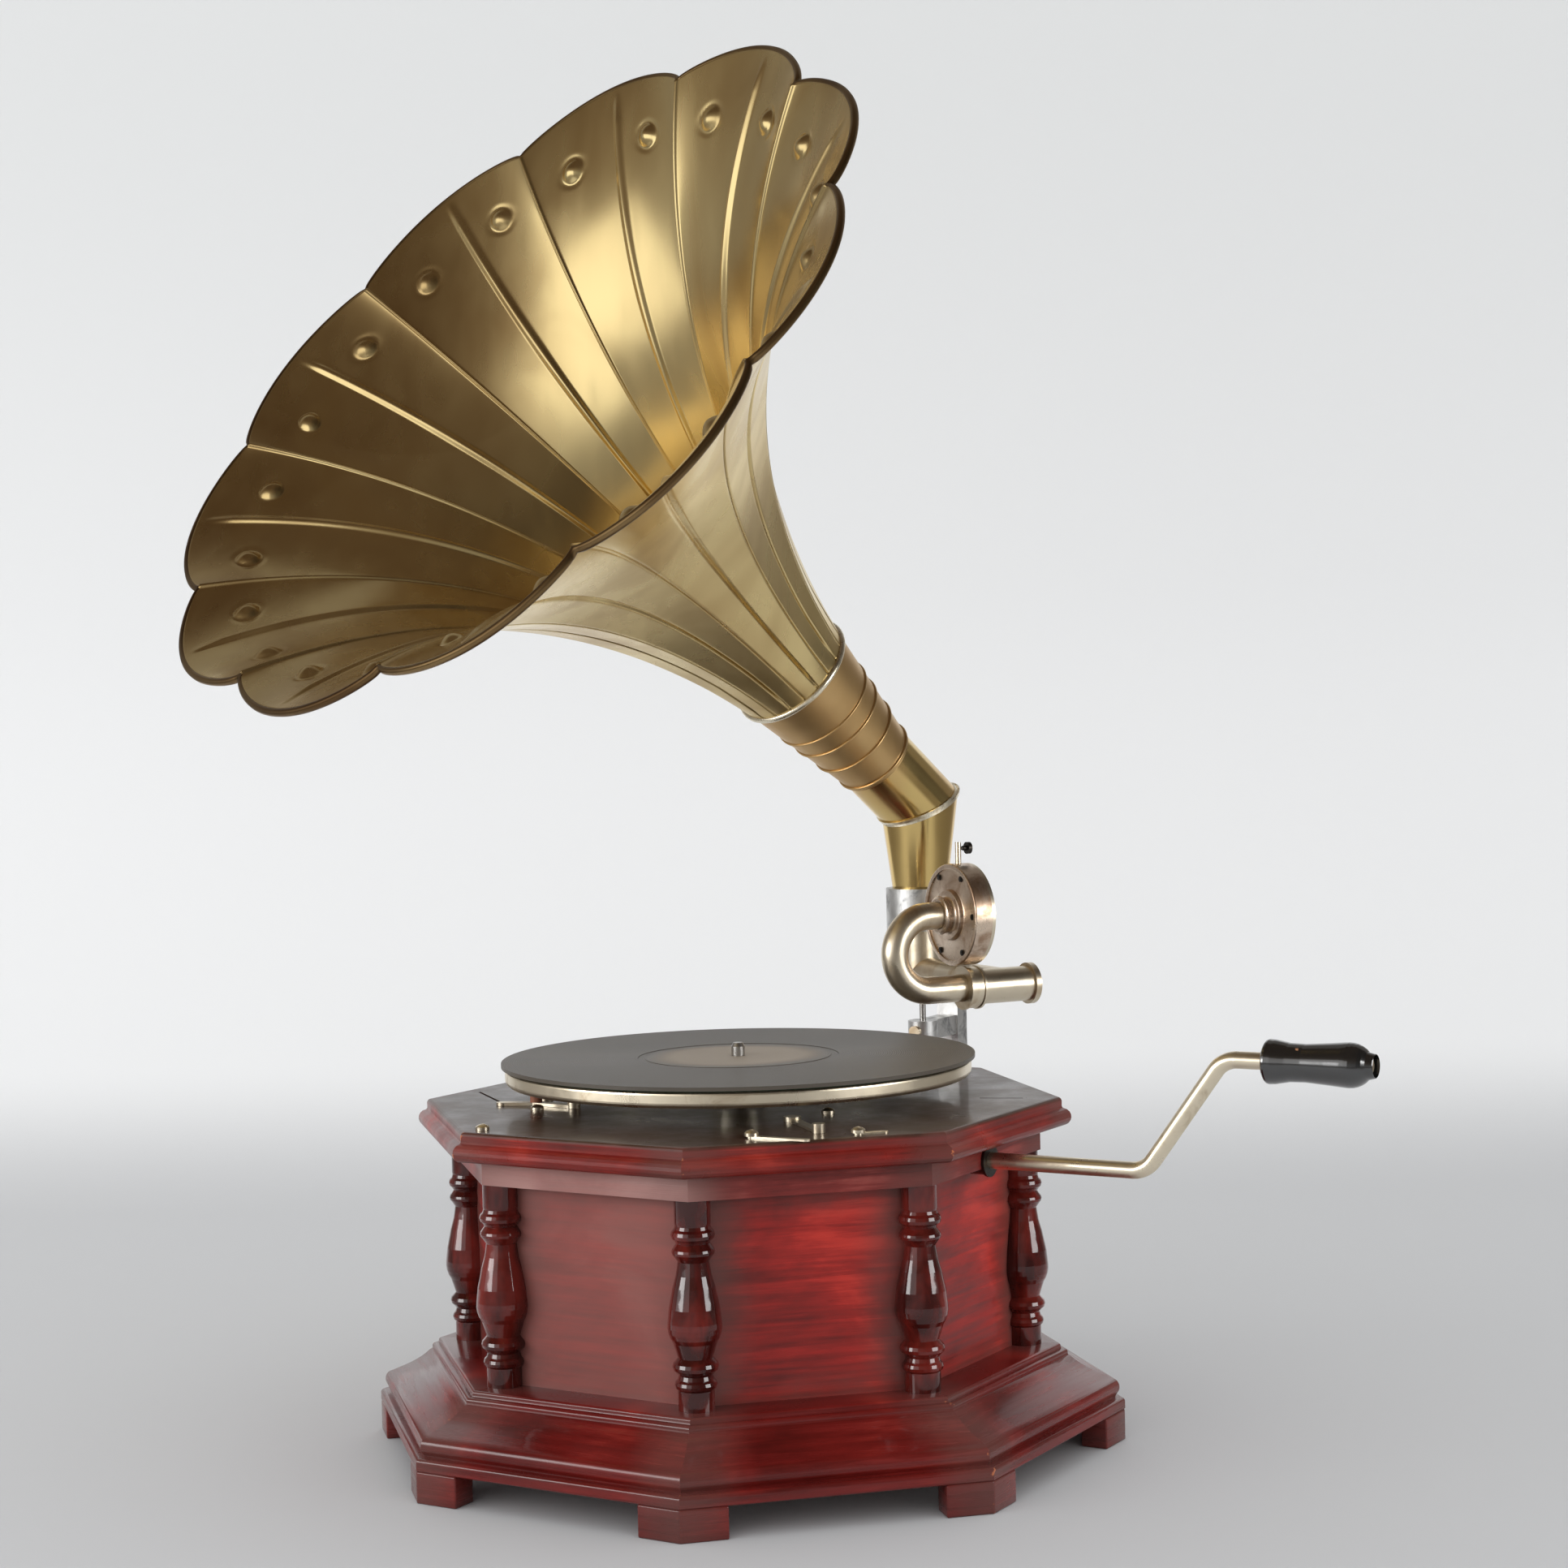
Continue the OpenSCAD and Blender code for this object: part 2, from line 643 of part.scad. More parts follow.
// One petal of sheet brass with its rib and its share of the rolled rim, from a seam at +X on
module petal_sheet() {
    r = bell_rings;
    half = [0, 0.1, 0.22, 0.34, 0.44, 0.48];
    turns = concat(half, [0.5], [for (i = [5:-1:0]) 1 - half[i]]);
    n = len(turns);
    rib = [for (j = [0:r]) j == r ? 0 : min(1, 0.4 + 0.3 * j)];
    inner = [for (j = [0:r]) [flare(bell_s(j)) - sheet_t, bell_s(j) + (j == 0 ? 0 : rim_step), j]];
    outer = [for (j = [r:-1:0]) [flare(bell_s(j)), bell_s(j) - (j == 0 ? 0 : rim_step), j]];
    bead = [for (i = [0:4])
        [notch_r + rim_bead_r * (0.4 + sin(45 * i)), horn_l + rim_bead_r * cos(45 * i) - 1.4, r]];
    ring = concat(inner, bead, outer);
    m = len(ring);
    points = [for (i = [0:n - 1]) for (p = ring)
        let (u = turns[i], a = 360 / petals * u, side = (i == 0 ? 1 : (i == n - 1 ? -1 : 0)) * seam_gap / 2,
            q = petal_r(bell_s(p[2]), u, p[0]) - (u == 0.5 ? rib_h * rib[p[2]] : 0))
            [q * cos(a) - side * sin(a), q * sin(a) + side * cos(a), p[1]]];
    sides = [for (i = [0:n - 2]) for (j = [0:m - 1])
        let (k = i * m, l = k + m, o = (j + 1) % m)
            for (f = [[k + j, k + o, l + o], [k + j, l + o, l + j]]) f];
    first = [for (f = petal_edge(0, m, r)) [f[2], f[1], f[0]]];
    polyhedron(points, concat(sides, first, petal_edge((n - 1) * m, m, r)));
}

module horn_bell() {
    color("#b08a48") on_horn() for (k = [0:petals - 1])
        rotate(petal_turn + 360 * k / petals) petal_sheet();
}

// Frame of the tone arm: its axis at the origin on the upright axis, +X along the arm
module on_arm() {
    translate([0, pivot_y, arm_z]) rotate(arm_angle) children();
}

// Frame of the cross tube: +X towards its rear end, the arm's end at the origin
module on_cross() {
    on_arm() translate([arm_l, 0, 0]) rotate(90) children();
}

module arm_tube() {
    r = arm_d / 2;
    w = arm_wall;
    riser_top = socket_floor - 3;
    color("#c6c0b2") difference() {
        union() {
            on_arm() {
                tube_x(0, arm_l, r);
                sphere(r = riser_r);
                cylinder(r = riser_r, h = riser_top - arm_z);
                translate([0, 0, -r - 4.5]) cylinder(r = 5.5, h = 8);
            }
            on_cross() {
                tube_x(-cross_front, cross_rear, cross_r);
                tube_x(-cross_front - collar_l, -cross_front, collar_r);
                tube_x(-cross_front - 1.4, -cross_front, collar_r + 0.7);
                tube_x(-cross_front - collar_l, -cross_front - collar_l + 1.4, collar_r + 0.7);
            }
        }
        on_arm() {
            tube_x(0, arm_l, r - w);
            sphere(r = riser_r - w);
            cylinder(r = riser_r - w, h = 60);
            translate([0, 0, -r - 8]) cylinder(r = pivot_pin_d / 2 + run_gap, h = 7);
        }
        on_cross() {
            tube_x(-cross_front + 3, cross_rear + 1, cross_r - w);
            tube_x(-cross_front - collar_l - 1, 0, goose_d / 2 + run_gap);
        }
    }
}

module arm_end_cap() {
    color("#c2b9a6") on_cross() difference() {
        union() {
            tube_x(cross_rear + face_gap, cross_rear + end_cap_t, collar_r);
            tube_x(cross_rear - 6, cross_rear + end_cap_t, cross_r - arm_wall - run_gap);
        }
        tube_x(cross_rear - 7, cross_rear + end_cap_t - 1.5, cross_r - 2 * arm_wall - 1);
    }
}

module gooseneck() {
    r = goose_d / 2;
    w = arm_wall;
    lower_end = -cross_front + 1;
    upper_end = -box_back - 1.5;
    color("#c9c2b0") on_cross() difference() {
        union() {
            tube_x(-goose_reach, lower_end, r);
            translate([0, 0, goose_span]) tube_x(-goose_reach, upper_end, r);
            translate([-goose_reach, 0, goose_r]) rotate([90, 0, 0]) rotate(90)
                rotate_extrude(angle = 180) translate([goose_r, 0]) circle(r = r);
        }
        tube_x(-goose_reach, lower_end + 1, r - w);
        translate([0, 0, goose_span]) tube_x(-goose_reach, upper_end + 1, r - w);
        translate([-goose_reach, 0, goose_r]) rotate([90, 0, 0]) rotate(90)
            rotate_extrude(angle = 180) translate([goose_r, 0]) circle(r = r - w);
    }
}

// Frame of the sound box: +X out of its front, its back at the origin
module on_box() {
    on_cross() translate([-box_back, 0, goose_span]) children();
}

module soundbox_shell() {
    hub_r = goose_d / 2 + 2.4;
    color("#b9b2a2") on_box() difference() {
        union() {
            tube_x(0, box_t - 2, box_r);
            tube_x(-hub_l, 1, hub_r);
            tube_x(-2, 1, hub_r + 4);
        }
        tube_x(2, box_t, box_r - box_wall);
        difference() {
            tube_x(-1, 0.9, box_r - 3);
            tube_x(-3, 2, hub_r + 4);
        }
        tube_x(-hub_l - 1, -1, goose_d / 2 + run_gap);
        tube_x(-2, 4, goose_d / 2 - arm_wall);
        translate([bar_x, 0, box_r - 4]) cylinder(d = holder_d + 0.8, h = 6);
        for (k = [0:5]) rotate([60 * k + 30, 0, 0]) translate([0, 0, box_r - 5]) tube_x(-1, 3, 0.9);
    }
}

module soundbox_bezel() {
    color("#c4bca8") on_box() difference() {
        union() {
            tube_x(box_t - 2 + 0.02, box_t, box_r);
            tube_x(box_t - 4, box_t, box_r - box_wall - run_gap);
        }
        tube_x(box_t - 5, box_t + 1, box_r - 6);
    }
}

module soundbox_gaskets() {
    outer = box_r - box_wall - run_gap;
    color("#e8e2d4") on_box() for (x = [[2.02, 3.1], [3.5, 4.5]]) difference() {
        tube_x(x[0], x[1], outer);
        tube_x(x[0] - 1, x[1] + 1, box_r - 6);
    }
}

module soundbox_diaphragm() {
    color("#d8c9a0") on_box() tube_x(3.12, 3.48, box_r - box_wall - 0.3);
}

module stylus_bar() {
    x = bar_x;
    color("#bdb6a6") on_box() difference() {
        union() {
            translate([x, 0, box_r - 8]) cylinder(d = holder_d, h = 8 + holder_l);
            translate([x - 0.7, -1.2, 0.8]) cube([1.4, 2.4, box_r - 8]);
            tube_x(3.5, x + 0.7, 1.6);
        }
        translate([x, 0, box_r + holder_l - 9]) cylinder(d = needle_hole_d, h = 10);
        translate([x, 0, box_r + holder_l - 3.5]) tube_x(0, 5, 1 + face_gap / 2);
    }
}

module needle_screw() {
    color("#2c2622") on_box() translate([bar_x, 0, box_r + holder_l - 3.5]) {
        tube_x(needle_hole_d / 2 + 0.1, 4, 1);
        tube_x(3, 5.6, 1.4);
        tube_x(5.4, 7.6, 3.4);
    }
}

module soundbox_screws() {
    color("#4a423a") on_box() for (k = [0:5]) rotate([60 * k + 30, 0, 0])
        translate([0, 0, box_r - 5]) {
            tube_x(-0.1, 1.9, 0.85);
            tube_x(0.2, 0.88, 1.7);
        }
}

module platter() {
    color("#b3a284") difference() {
        translate([0, 0, platter_z]) rotate_extrude() polygon(concat(
            [[platter_r - platter_rim_w, 0], [platter_r - 1.5, 0]],
            arc([platter_r - 2.5, 2.5], 2.5, -60, 0, 3),
            arc([platter_r - 1.5, platter_h - 1.5], 1.5, 0, 90, 3),
            [[0, platter_h], [0, -6], [14, -6], [16, platter_h - platter_t],
                [platter_r - platter_rim_w, platter_h - platter_t]]));
        translate([0, 0, platter_z - 7]) cylinder(d = spindle_d + 0.02, h = 20 + platter_h);
    }
}

module platter_felt() {
    color("#3b4a3a") translate([0, 0, platter_top]) difference() {
        cylinder(r = platter_r - 3, h = felt_t);
        translate([0, 0, -1]) cylinder(d = spindle_d + 1, h = felt_t + 2);
    }
}

module record() {
    color("#4c4a46") translate([0, 0, felt_top]) difference() {
        cylinder(r = record_r, h = record_t, $fn = 96);
        translate([0, 0, -1]) cylinder(d = pin_d + 2 * run_gap, h = record_t + 2);
        translate([0, 0, record_t - 0.25]) difference() {
            cylinder(r = label_r + 4, h = 1);
            translate([0, 0, -1]) cylinder(r = label_r, h = 3);
        }
    }
}

module spindle() {
    low = motor_low_z + 1;
    seat = platter_z - 6;
    color("#a79c86") difference() {
        union() {
            translate([0, 0, low]) cylinder(d = spindle_d, h = platter_top - low);
            translate([0, 0, seat - 2]) cylinder(d = spindle_d + 6, h = 2);
            translate([0, 0, platter_top]) cylinder(d = pin_d - 0.6, h = record_top - platter_top + 0.5);
            translate([0, 0, record_top + 0.5]) cylinder(d = pin_d, h = pin_rise - 2.5);
            translate([0, 0, spindle_top - 2]) cylinder(d1 = pin_d, d2 = pin_d - 2, h = 2);
            translate([0, 0, second_wheel_z - 1]) rotate(pinion_turn()) linear_extrude(height = wheel_t + 2)
                gear_outline(pinion_teeth, gear_m);
        }
        translate([0, 0, low - 1]) cylinder(r1 = 2, r2 = 1, h = 3);
    }
}

// Turn of the spindle's pinion that puts a gap towards the second wheel
function pinion_turn() = atan2(second_dy, second_dx) + 180 / pinion_teeth;

module spindle_bush() {
    r = spindle_d / 2;
    color("#a8823e") difference() {
        union() {
            translate([0, 0, top_under - 3]) cylinder(r = r + 5, h = top_t + 3);
            translate([0, 0, top_z]) cylinder(r = r + 9, h = 1.6);
        }
        translate([0, 0, top_under - 4]) cylinder(r = r + run_gap, h = top_t + 8);
    }
}

// Middle line of the crank's bent rod, from its first bend to the handle
module crank_path_bend(x, z, a, b, up) {
    translate([x, 0, z + (up ? crank_bend_r : -crank_bend_r)]) rotate([90, 0, 0])
        rotate(a) rotate_extrude(angle = b - a) translate([crank_bend_r, 0]) circle(d = crank_d, $fn = 48);
}

module crank_rod() {
    slope = atan2(crank_throw, crank_slope_run);
    cut = crank_bend_r * tan(slope / 2);
    len = norm([crank_slope_run, crank_throw]) - 2 * cut;
    x1 = crank_bend_x;
    x2 = crank_bend_x + crank_slope_run;
    z1 = crank_z;
    z2 = crank_z + crank_throw;
    color("#a8946a") union() {
        translate([0, 0, z1]) tube_x(winding_pinion_x - 7, x1 - cut, crank_d / 2);
        crank_path_bend(x1 - cut, z1, -90, slope - 90, true);
        translate([x1 + cut * cos(slope), 0, z1 + cut * sin(slope)]) rotate([0, -slope, 0])
            tube_x(0, len, crank_d / 2);
        crank_path_bend(x2 + cut, z2, 90, slope + 90, false);
        translate([0, 0, z2]) tube_x(x2 + cut, handle_x0, crank_d / 2);
        for (p = [[x1 - cut, z1], [x1 + cut * cos(slope), z1 + cut * sin(slope)],
                [x2 - cut * cos(slope), z2 - cut * sin(slope)], [x2 + cut, z2]])
            translate([p[0], 0, p[1]]) sphere(d = crank_d + 0.08);
        translate([0, 0, z2]) tube_x(handle_x0 - 0.01, handle_x0 + handle_l - 9, crank_d / 2 - 1.5);
        translate([winding_pinion_x - 4, 0, z1]) rotate([0, 90, 0]) linear_extrude(height = 8)
            gear_outline(8, 1.5);
    }
}

module crank_handle() {
    r = handle_d / 2;
    l = handle_l;
    color("#151210") translate([handle_x0 + 0.3, 0, crank_z + crank_throw]) rotate([0, 90, 0]) difference() {
        rotate_extrude() polygon(concat(
            [[0, 0], [r - 3, 0]],
            arc([r - 2, 2], 2, -90, 0, 3),
            [[r - 0.2, 5], [r - 1.5, 12], [r - 1.7, 20], [r - 0.8, 32], [r - 0.1, 40]],
            arc([r - 12, 42], 12, 0, 50, 5),
            arc([r - 9, l - 6], 6, 50, 90, 3),
            [[0, l]]));
        translate([0, 0, -1]) cylinder(r = crank_d / 2 - 1.5 + run_gap, h = l - 8);
        translate([0, 0, l - 9.5]) cylinder(r = 5.5, h = 12);
    }
}

module crank_end_nut() {
    x = handle_x0 + handle_l - 9;
    color("#8c7b58") translate([0, 0, crank_z + crank_throw]) {
        tube_x(x, x + 2, 5);
        tube_x(x + 2, x + 6, 3.5);
    }
}

module crank_bush() {
    r = bush_d / 2;
    x0 = case_ap - board_t - 2;
    color("#2b2a29") translate([0, 0, crank_z]) difference() {
        union() {
            tube_x(x0, frieze_ap + 0.6, r);
            tube_x(frieze_ap + face_gap, frieze_ap + 1.6, r + 1.0);
        }
        tube_x(x0 - 1, frieze_ap + 4, crank_d / 2 + run_gap);
    }
}

// Outline of a motor plate with rounded corners
module plate_outline() {
    c = 8;
    difference() {
        translate([plate_x0, plate_y0]) square([plate_x1 - plate_x0, plate_y1 - plate_y0]);
        for (p = [[plate_x0, plate_y0, 1, 1], [plate_x1, plate_y0, -1, 1],
                [plate_x0, plate_y1, 1, -1], [plate_x1, plate_y1, -1, -1]])
            difference() {
                translate([p[0] - 1 + (p[2] < 0 ? -c + 1 : 0), p[1] - 1 + (p[3] < 0 ? -c + 1 : 0)]) square(c + 1);
                translate([p[0] + p[2] * c, p[1] + p[3] * c]) circle(r = c);
            }
    }
}

module motor_bottom_plate() {
    color("#8f8a80") translate([0, 0, motor_low_z]) difference() {
        union() {
            linear_extrude(height = plate_t) plate_outline();
            translate([0, 0, -3]) cylinder(r = spindle_d / 2 + 4, h = 3);
        }
        translate([0, 0, 1]) cylinder(r = spindle_d / 2 + run_gap, h = 9);
        translate([barrel_x, 0, 1]) cylinder(r = 4.5 + run_gap, h = 9);
        translate([second_dx, second_dy, 1]) cylinder(r = 2.5 + run_gap, h = 9);
    }
}

module motor_top_plate() {
    color("#8f8a80") translate([0, 0, motor_top_z]) difference() {
        linear_extrude(height = plate_t) plate_outline();
        translate([0, 0, -1]) cylinder(r = spindle_d / 2 + run_gap, h = 9);
        translate([barrel_x, 0, -1]) cylinder(r = 4.5 + run_gap, h = 9);
        translate([second_dx, second_dy, -1]) cylinder(r = 2.5 + run_gap, h = 9);
        for (p = hanger_points())
            translate([p[0], p[1], -1]) cylinder(d = screw_d + 2 * face_gap, h = 9);
    }
}

module motor_pillars() {
    h = motor_top_z - motor_low_z - plate_t;
    color("#9d9686") for (p = pillar_points()) translate([p[0], p[1], motor_low_z + plate_t])
        cylinder(r = pillar_r, h = h);
}

// Places of the pillars between the two motor plates
function pillar_points() = [for (x = [plate_x0 + 8, plate_x1 - 22]) for (y = [plate_y0 + 22, plate_y1 - 22])
    [x == plate_x0 + 8 ? x : x + 14, y == plate_y0 + 22 ? y - 14 : y + 14]];

module motor_hangers() {
    h = top_under - motor_top_z - plate_t;
    color("#77716a") for (p = hanger_points()) translate([p[0], p[1], motor_top_z + plate_t]) union() {
        cylinder(r = 6, h = h);
        cylinder(d = screw_d, h = h + top_t - 5);
    }
}

module spring_barrel() {
    z0 = barrel_z;
    z1 = barrel_wheel_z;
    color("#a89a78") translate([barrel_x, 0, 0]) difference() {
        union() {
            translate([0, 0, z0]) cylinder(r = barrel_r, h = z1 - z0);
            translate([0, 0, z1 - 0.01]) rotate(barrel_turn()) linear_extrude(height = wheel_t)
                gear_outline(barrel_teeth, gear_m);
            translate([0, 0, z0 - 4]) cylinder(r = 8, h = 5);
        }
        translate([0, 0, z0 + 2]) cylinder(r = barrel_r - 2, h = z1 - z0 - 4);
        translate([0, 0, z0 - 5]) cylinder(r = 4.5 + run_gap, h = z1 - z0 + 20);
    }
}

// Turn of the barrel's wheel that puts a tooth towards the second arbor
function barrel_turn() = atan2(second_dy, second_dx - barrel_x);

module mainspring() {
    turns = 7;
    per = 24;
    r0 = 11;
    r1 = barrel_r - 3.2;
    t = 0.8;
    n = turns * per;
    line = [for (i = [0:n]) [r0 + (r1 - r0) * i / n, 360 * i / per]];
    color("#4e5258") translate([barrel_x, 0, barrel_z + 3.5])
        linear_extrude(height = barrel_wheel_z - barrel_z - 7)
            polygon(concat([for (p = line) p[0] * [cos(p[1]), sin(p[1])]],
                [for (i = [n:-1:0]) (line[i][0] + t) * [cos(line[i][1]), sin(line[i][1])]]));
}

module winding_arbor() {
    top = crown_z + 0.5;
    n = 24;
    color("#9c8f70") translate([barrel_x, 0, 0]) union() {
        translate([0, 0, motor_low_z + 1.2]) cylinder(r = 4.5, h = top - motor_low_z - 1.2);
        translate([0, 0, barrel_z + 3]) cylinder(r = 9.5, h = barrel_wheel_z - barrel_z - 6);
        translate([0, 0, crown_z - 4]) cylinder(r = crown_r, h = 3);
        for (i = [0:n - 1]) rotate(360 * (i + 0.5) / n) translate([crown_r - 5, -0.9, crown_z - 1.5])
            cube([5, 1.8, 1.9 + 0.9]);
    }
}

module winding_bearing() {
    x = winding_pinion_x + 10;
    z0 = motor_top_z + plate_t;
    color("#8f8a80") difference() {
        union() {
            translate([x, -9, z0]) cube([7, 18, crank_z - z0]);
            translate([0, 0, crank_z]) tube_x(x, x + 7, 8);
            translate([x, -17, z0]) cube([7, 34, 3]);
        }
        translate([0, 0, crank_z]) tube_x(x - 1, x + 8, crank_d / 2 + run_gap);
    }
}

module second_wheel() {
    low = motor_low_z + 1.2;
    color("#b39048") translate([second_dx, second_dy, 0]) union() {
        translate([0, 0, low]) cylinder(r = 2.5, h = motor_top_z + plate_t - low);
        translate([0, 0, barrel_wheel_z + 0.2]) rotate(barrel_turn() + 180 / pinion_teeth)
            linear_extrude(height = wheel_t + 1.3) gear_outline(pinion_teeth, gear_m);
        translate([0, 0, second_wheel_z]) rotate(atan2(second_dy, second_dx)) linear_extrude(height = wheel_t)
            difference() {
                gear_outline(second_teeth, gear_m);
                for (k = [0:4]) rotate(72 * k) translate([16, 0]) circle(r = 6);
            }
    }
}

module worm_wheel() {
    color("#7a4a2a") translate([0, 0, worm_z - 3]) difference() {
        linear_extrude(height = 6) gear_outline(30, 2 * (worm_wheel_r) / 31.7);
        translate([0, 0, -1]) cylinder(d = spindle_d + 0.02, h = 8);
    }
}

module on_governor() {
    translate([0, governor_y, worm_z]) children();
}

module governor_shaft() {
    color("#8d8778") on_governor() union() {
        tube_x(governor_x0, governor_x1, 2);
        tube_x(-9, 9, worm_r);
    }
}

module governor_discs() {
    color("#a8823e") on_governor() difference() {
        union() {
            tube_x(-18, -12, 6);
            tube_x(-60, -57, governor_r);
            tube_x(-57.01, -48, 6);
        }
        tube_x(-70, 10, 2.02);
    }
}

module governor_springs() {
    color("#5c6068") on_governor() for (k = [0:2]) rotate([120 * k, 0, 0])
        for (s = [[-18, -30], [-48, -36]])
            hull() {
                translate([s[0] + (s[0] < -40 ? -1 : 1), -2.5, 6.05]) cube([1, 5, 0.4]);
                translate([s[1], -2.5, 9.6]) cube([1, 5, 0.4]);
            }
}

module governor_weights() {
    color("#77736c") on_governor() for (k = [0:2]) rotate([120 * k, 0, 0])
        translate([-36, -3.5, 7.6]) difference() {
            cube([7, 7, 5]);
            translate([-1, 0.9, 1.4]) cube([9, 5.2, 1.1]);
        }
}

module governor_bearings() {
    z0 = motor_low_z + plate_t;
    color("#8f8a80") for (x = [governor_x0 - 2, governor_x1 - 3]) translate([x, governor_y, 0]) difference() {
        union() {
            translate([0, -5, z0]) cube([5, 10, worm_z - z0 + 5]);
            translate([0, -5, z0]) cube([5, 20, 3]);
        }
        translate([0, 0, worm_z]) tube_x(x > 0 ? -1 : 2, x > 0 ? 3 : 6, 2 + run_gap);
    }
}

// Flat outline of a bar between two points, rounded at both ends
module bar_outline(a, b, w) {
    d = b - a;
    translate(a) {
        circle(d = w);
        rotate(atan2(d[1], d[0])) translate([0, -0.46 * w]) square([norm(d), 0.92 * w]);
    }
    translate(b) circle(d = w);
}

module brake_lever() {
    color("#b9b2a4") translate([0, 0, top_z + face_gap]) difference() {
        union() {
            linear_extrude(height = 1.6) {
                bar_outline(brake_pivot, brake_pad_at, 7);
                bar_outline(brake_pad_at, brake_handle_at, 7);
            }
            translate([brake_pad_at[0], brake_pad_at[1], 0]) cylinder(d = 4, h = 5);
        }
        translate([brake_pivot[0], brake_pivot[1], -1]) cylinder(d = screw_d + 2 * run_gap, h = 5);
    }
}

module brake_pad() {
    color("#7a3a22") translate([brake_pad_at[0], brake_pad_at[1], top_z + face_gap + 1.6]) difference() {
        cylinder(d = pad_d, h = platter_gap + 0.8);
        translate([0, 0, -1]) cylinder(d = 4.02, h = 4.4);
    }
}

module brake_screw() {
    color("#bdb7aa") translate([brake_pivot[0], brake_pivot[1], top_z + face_gap + 1.7]) wood_screw(13);
}

module speed_lever() {
    color("#b9b2a4") rotate(speed_dir) translate([speed_pivot_r, 0, 0]) {
        translate([0, 0, top_z + face_gap]) cylinder(d = 9, h = 2.4);
        translate([0, 0, top_under - 2]) cylinder(d = screw_d + 1, h = top_t + 3);
        translate([0, -2.5, top_z + face_gap]) cube([speed_lever_l, 5, 1.4]);
        translate([speed_lever_l, 0, top_z + face_gap]) cylinder(d = knob_d, h = 4.6);
        translate([-3, -3, top_under - 5]) cube([22, 6, 3]);
    }
}

module board_strips() {
    color("#a89466") for (p = strip_at) translate([p[0], p[1], top_z]) rotate(p[2]) difference() {
        linear_extrude(height = 1) bar_outline([0, 0], [p[2] > 20 ? 13 : strip_l, 0], 4.4);
        translate([0, 0, -1]) cylinder(d = screw_d + 2 * run_gap, h = 3);
    }
}

module board_screws() {
    color("#bdb7aa") for (i = [0:len(board_screw_at) - 1])
        translate([board_screw_at[i][0], board_screw_at[i][1], top_z + (i < 2 ? 1 : 0)]) wood_screw(12);
}

plinth();
bottom_board();
side_boards();
frieze();
top_board();
corner_columns();
back_bracket();
bracket_screws();
pivot_pin();
pin_screw();
horn_elbow();
horn_solder();
horn_throat();
horn_bell();
arm_tube();
arm_end_cap();
gooseneck();
soundbox_shell();
soundbox_bezel();
soundbox_gaskets();
soundbox_diaphragm();
stylus_bar();
needle_screw();
soundbox_screws();
platter();
platter_felt();
record();
spindle();
spindle_bush();
crank_rod();
crank_handle();
crank_end_nut();
crank_bush();
motor_bottom_plate();
motor_top_plate();
motor_pillars();
motor_hangers();
spring_barrel();
mainspring();
winding_arbor();
winding_bearing();
second_wheel();
worm_wheel();
governor_shaft();
governor_discs();
governor_springs();
governor_weights();
governor_bearings();
brake_lever();
brake_pad();
brake_screw();
speed_lever();
board_strips();
board_screws();
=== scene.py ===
import math

import bpy
import numpy as np
from mathutils import Matrix, Vector


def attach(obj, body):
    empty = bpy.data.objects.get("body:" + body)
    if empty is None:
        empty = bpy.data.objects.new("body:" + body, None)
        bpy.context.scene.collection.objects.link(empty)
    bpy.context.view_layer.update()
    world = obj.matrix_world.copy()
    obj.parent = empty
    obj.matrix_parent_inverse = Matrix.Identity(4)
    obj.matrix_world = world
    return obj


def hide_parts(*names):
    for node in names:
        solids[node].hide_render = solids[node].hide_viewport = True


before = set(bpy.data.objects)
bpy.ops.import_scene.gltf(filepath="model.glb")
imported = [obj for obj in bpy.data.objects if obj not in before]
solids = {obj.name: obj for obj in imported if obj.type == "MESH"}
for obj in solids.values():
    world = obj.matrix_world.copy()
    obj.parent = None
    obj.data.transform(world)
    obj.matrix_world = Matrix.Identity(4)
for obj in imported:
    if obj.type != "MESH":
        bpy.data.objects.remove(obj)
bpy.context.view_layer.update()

# The camera stands to the right of the front face, just above the turntable's height.
# Its place and lens were solved from the case's eight sides and the record.
view_azimuth = math.radians(30.68)
view_elevation = math.radians(1.63)
view_roll = math.radians(-1.3)
view_distance = 1.5298
view_height = 0.3501
view_shift = 0.0279
view_lens = 65.53
view_sensor = 36

away = Vector((math.sin(view_azimuth) * math.cos(view_elevation),
               -math.cos(view_azimuth) * math.cos(view_elevation), math.sin(view_elevation)))
across = Vector((math.cos(view_azimuth), math.sin(view_azimuth), 0))
upward = away.cross(across)
right = across * math.cos(view_roll) + upward * math.sin(view_roll)
top = upward * math.cos(view_roll) - across * math.sin(view_roll)
eye = Vector((0, 0, view_height)) + across * view_shift + away * view_distance
camera = bpy.data.objects.new("camera", bpy.data.cameras.new("camera"))
camera.data.sensor_width = view_sensor
camera.data.lens = view_lens
camera.matrix_world = Matrix.Translation(eye) @ Matrix((right, top, away)).transposed().to_4x4()
bpy.context.collection.objects.link(camera)
bpy.context.scene.camera = camera
bpy.context.scene.view_settings.view_transform = "Standard"


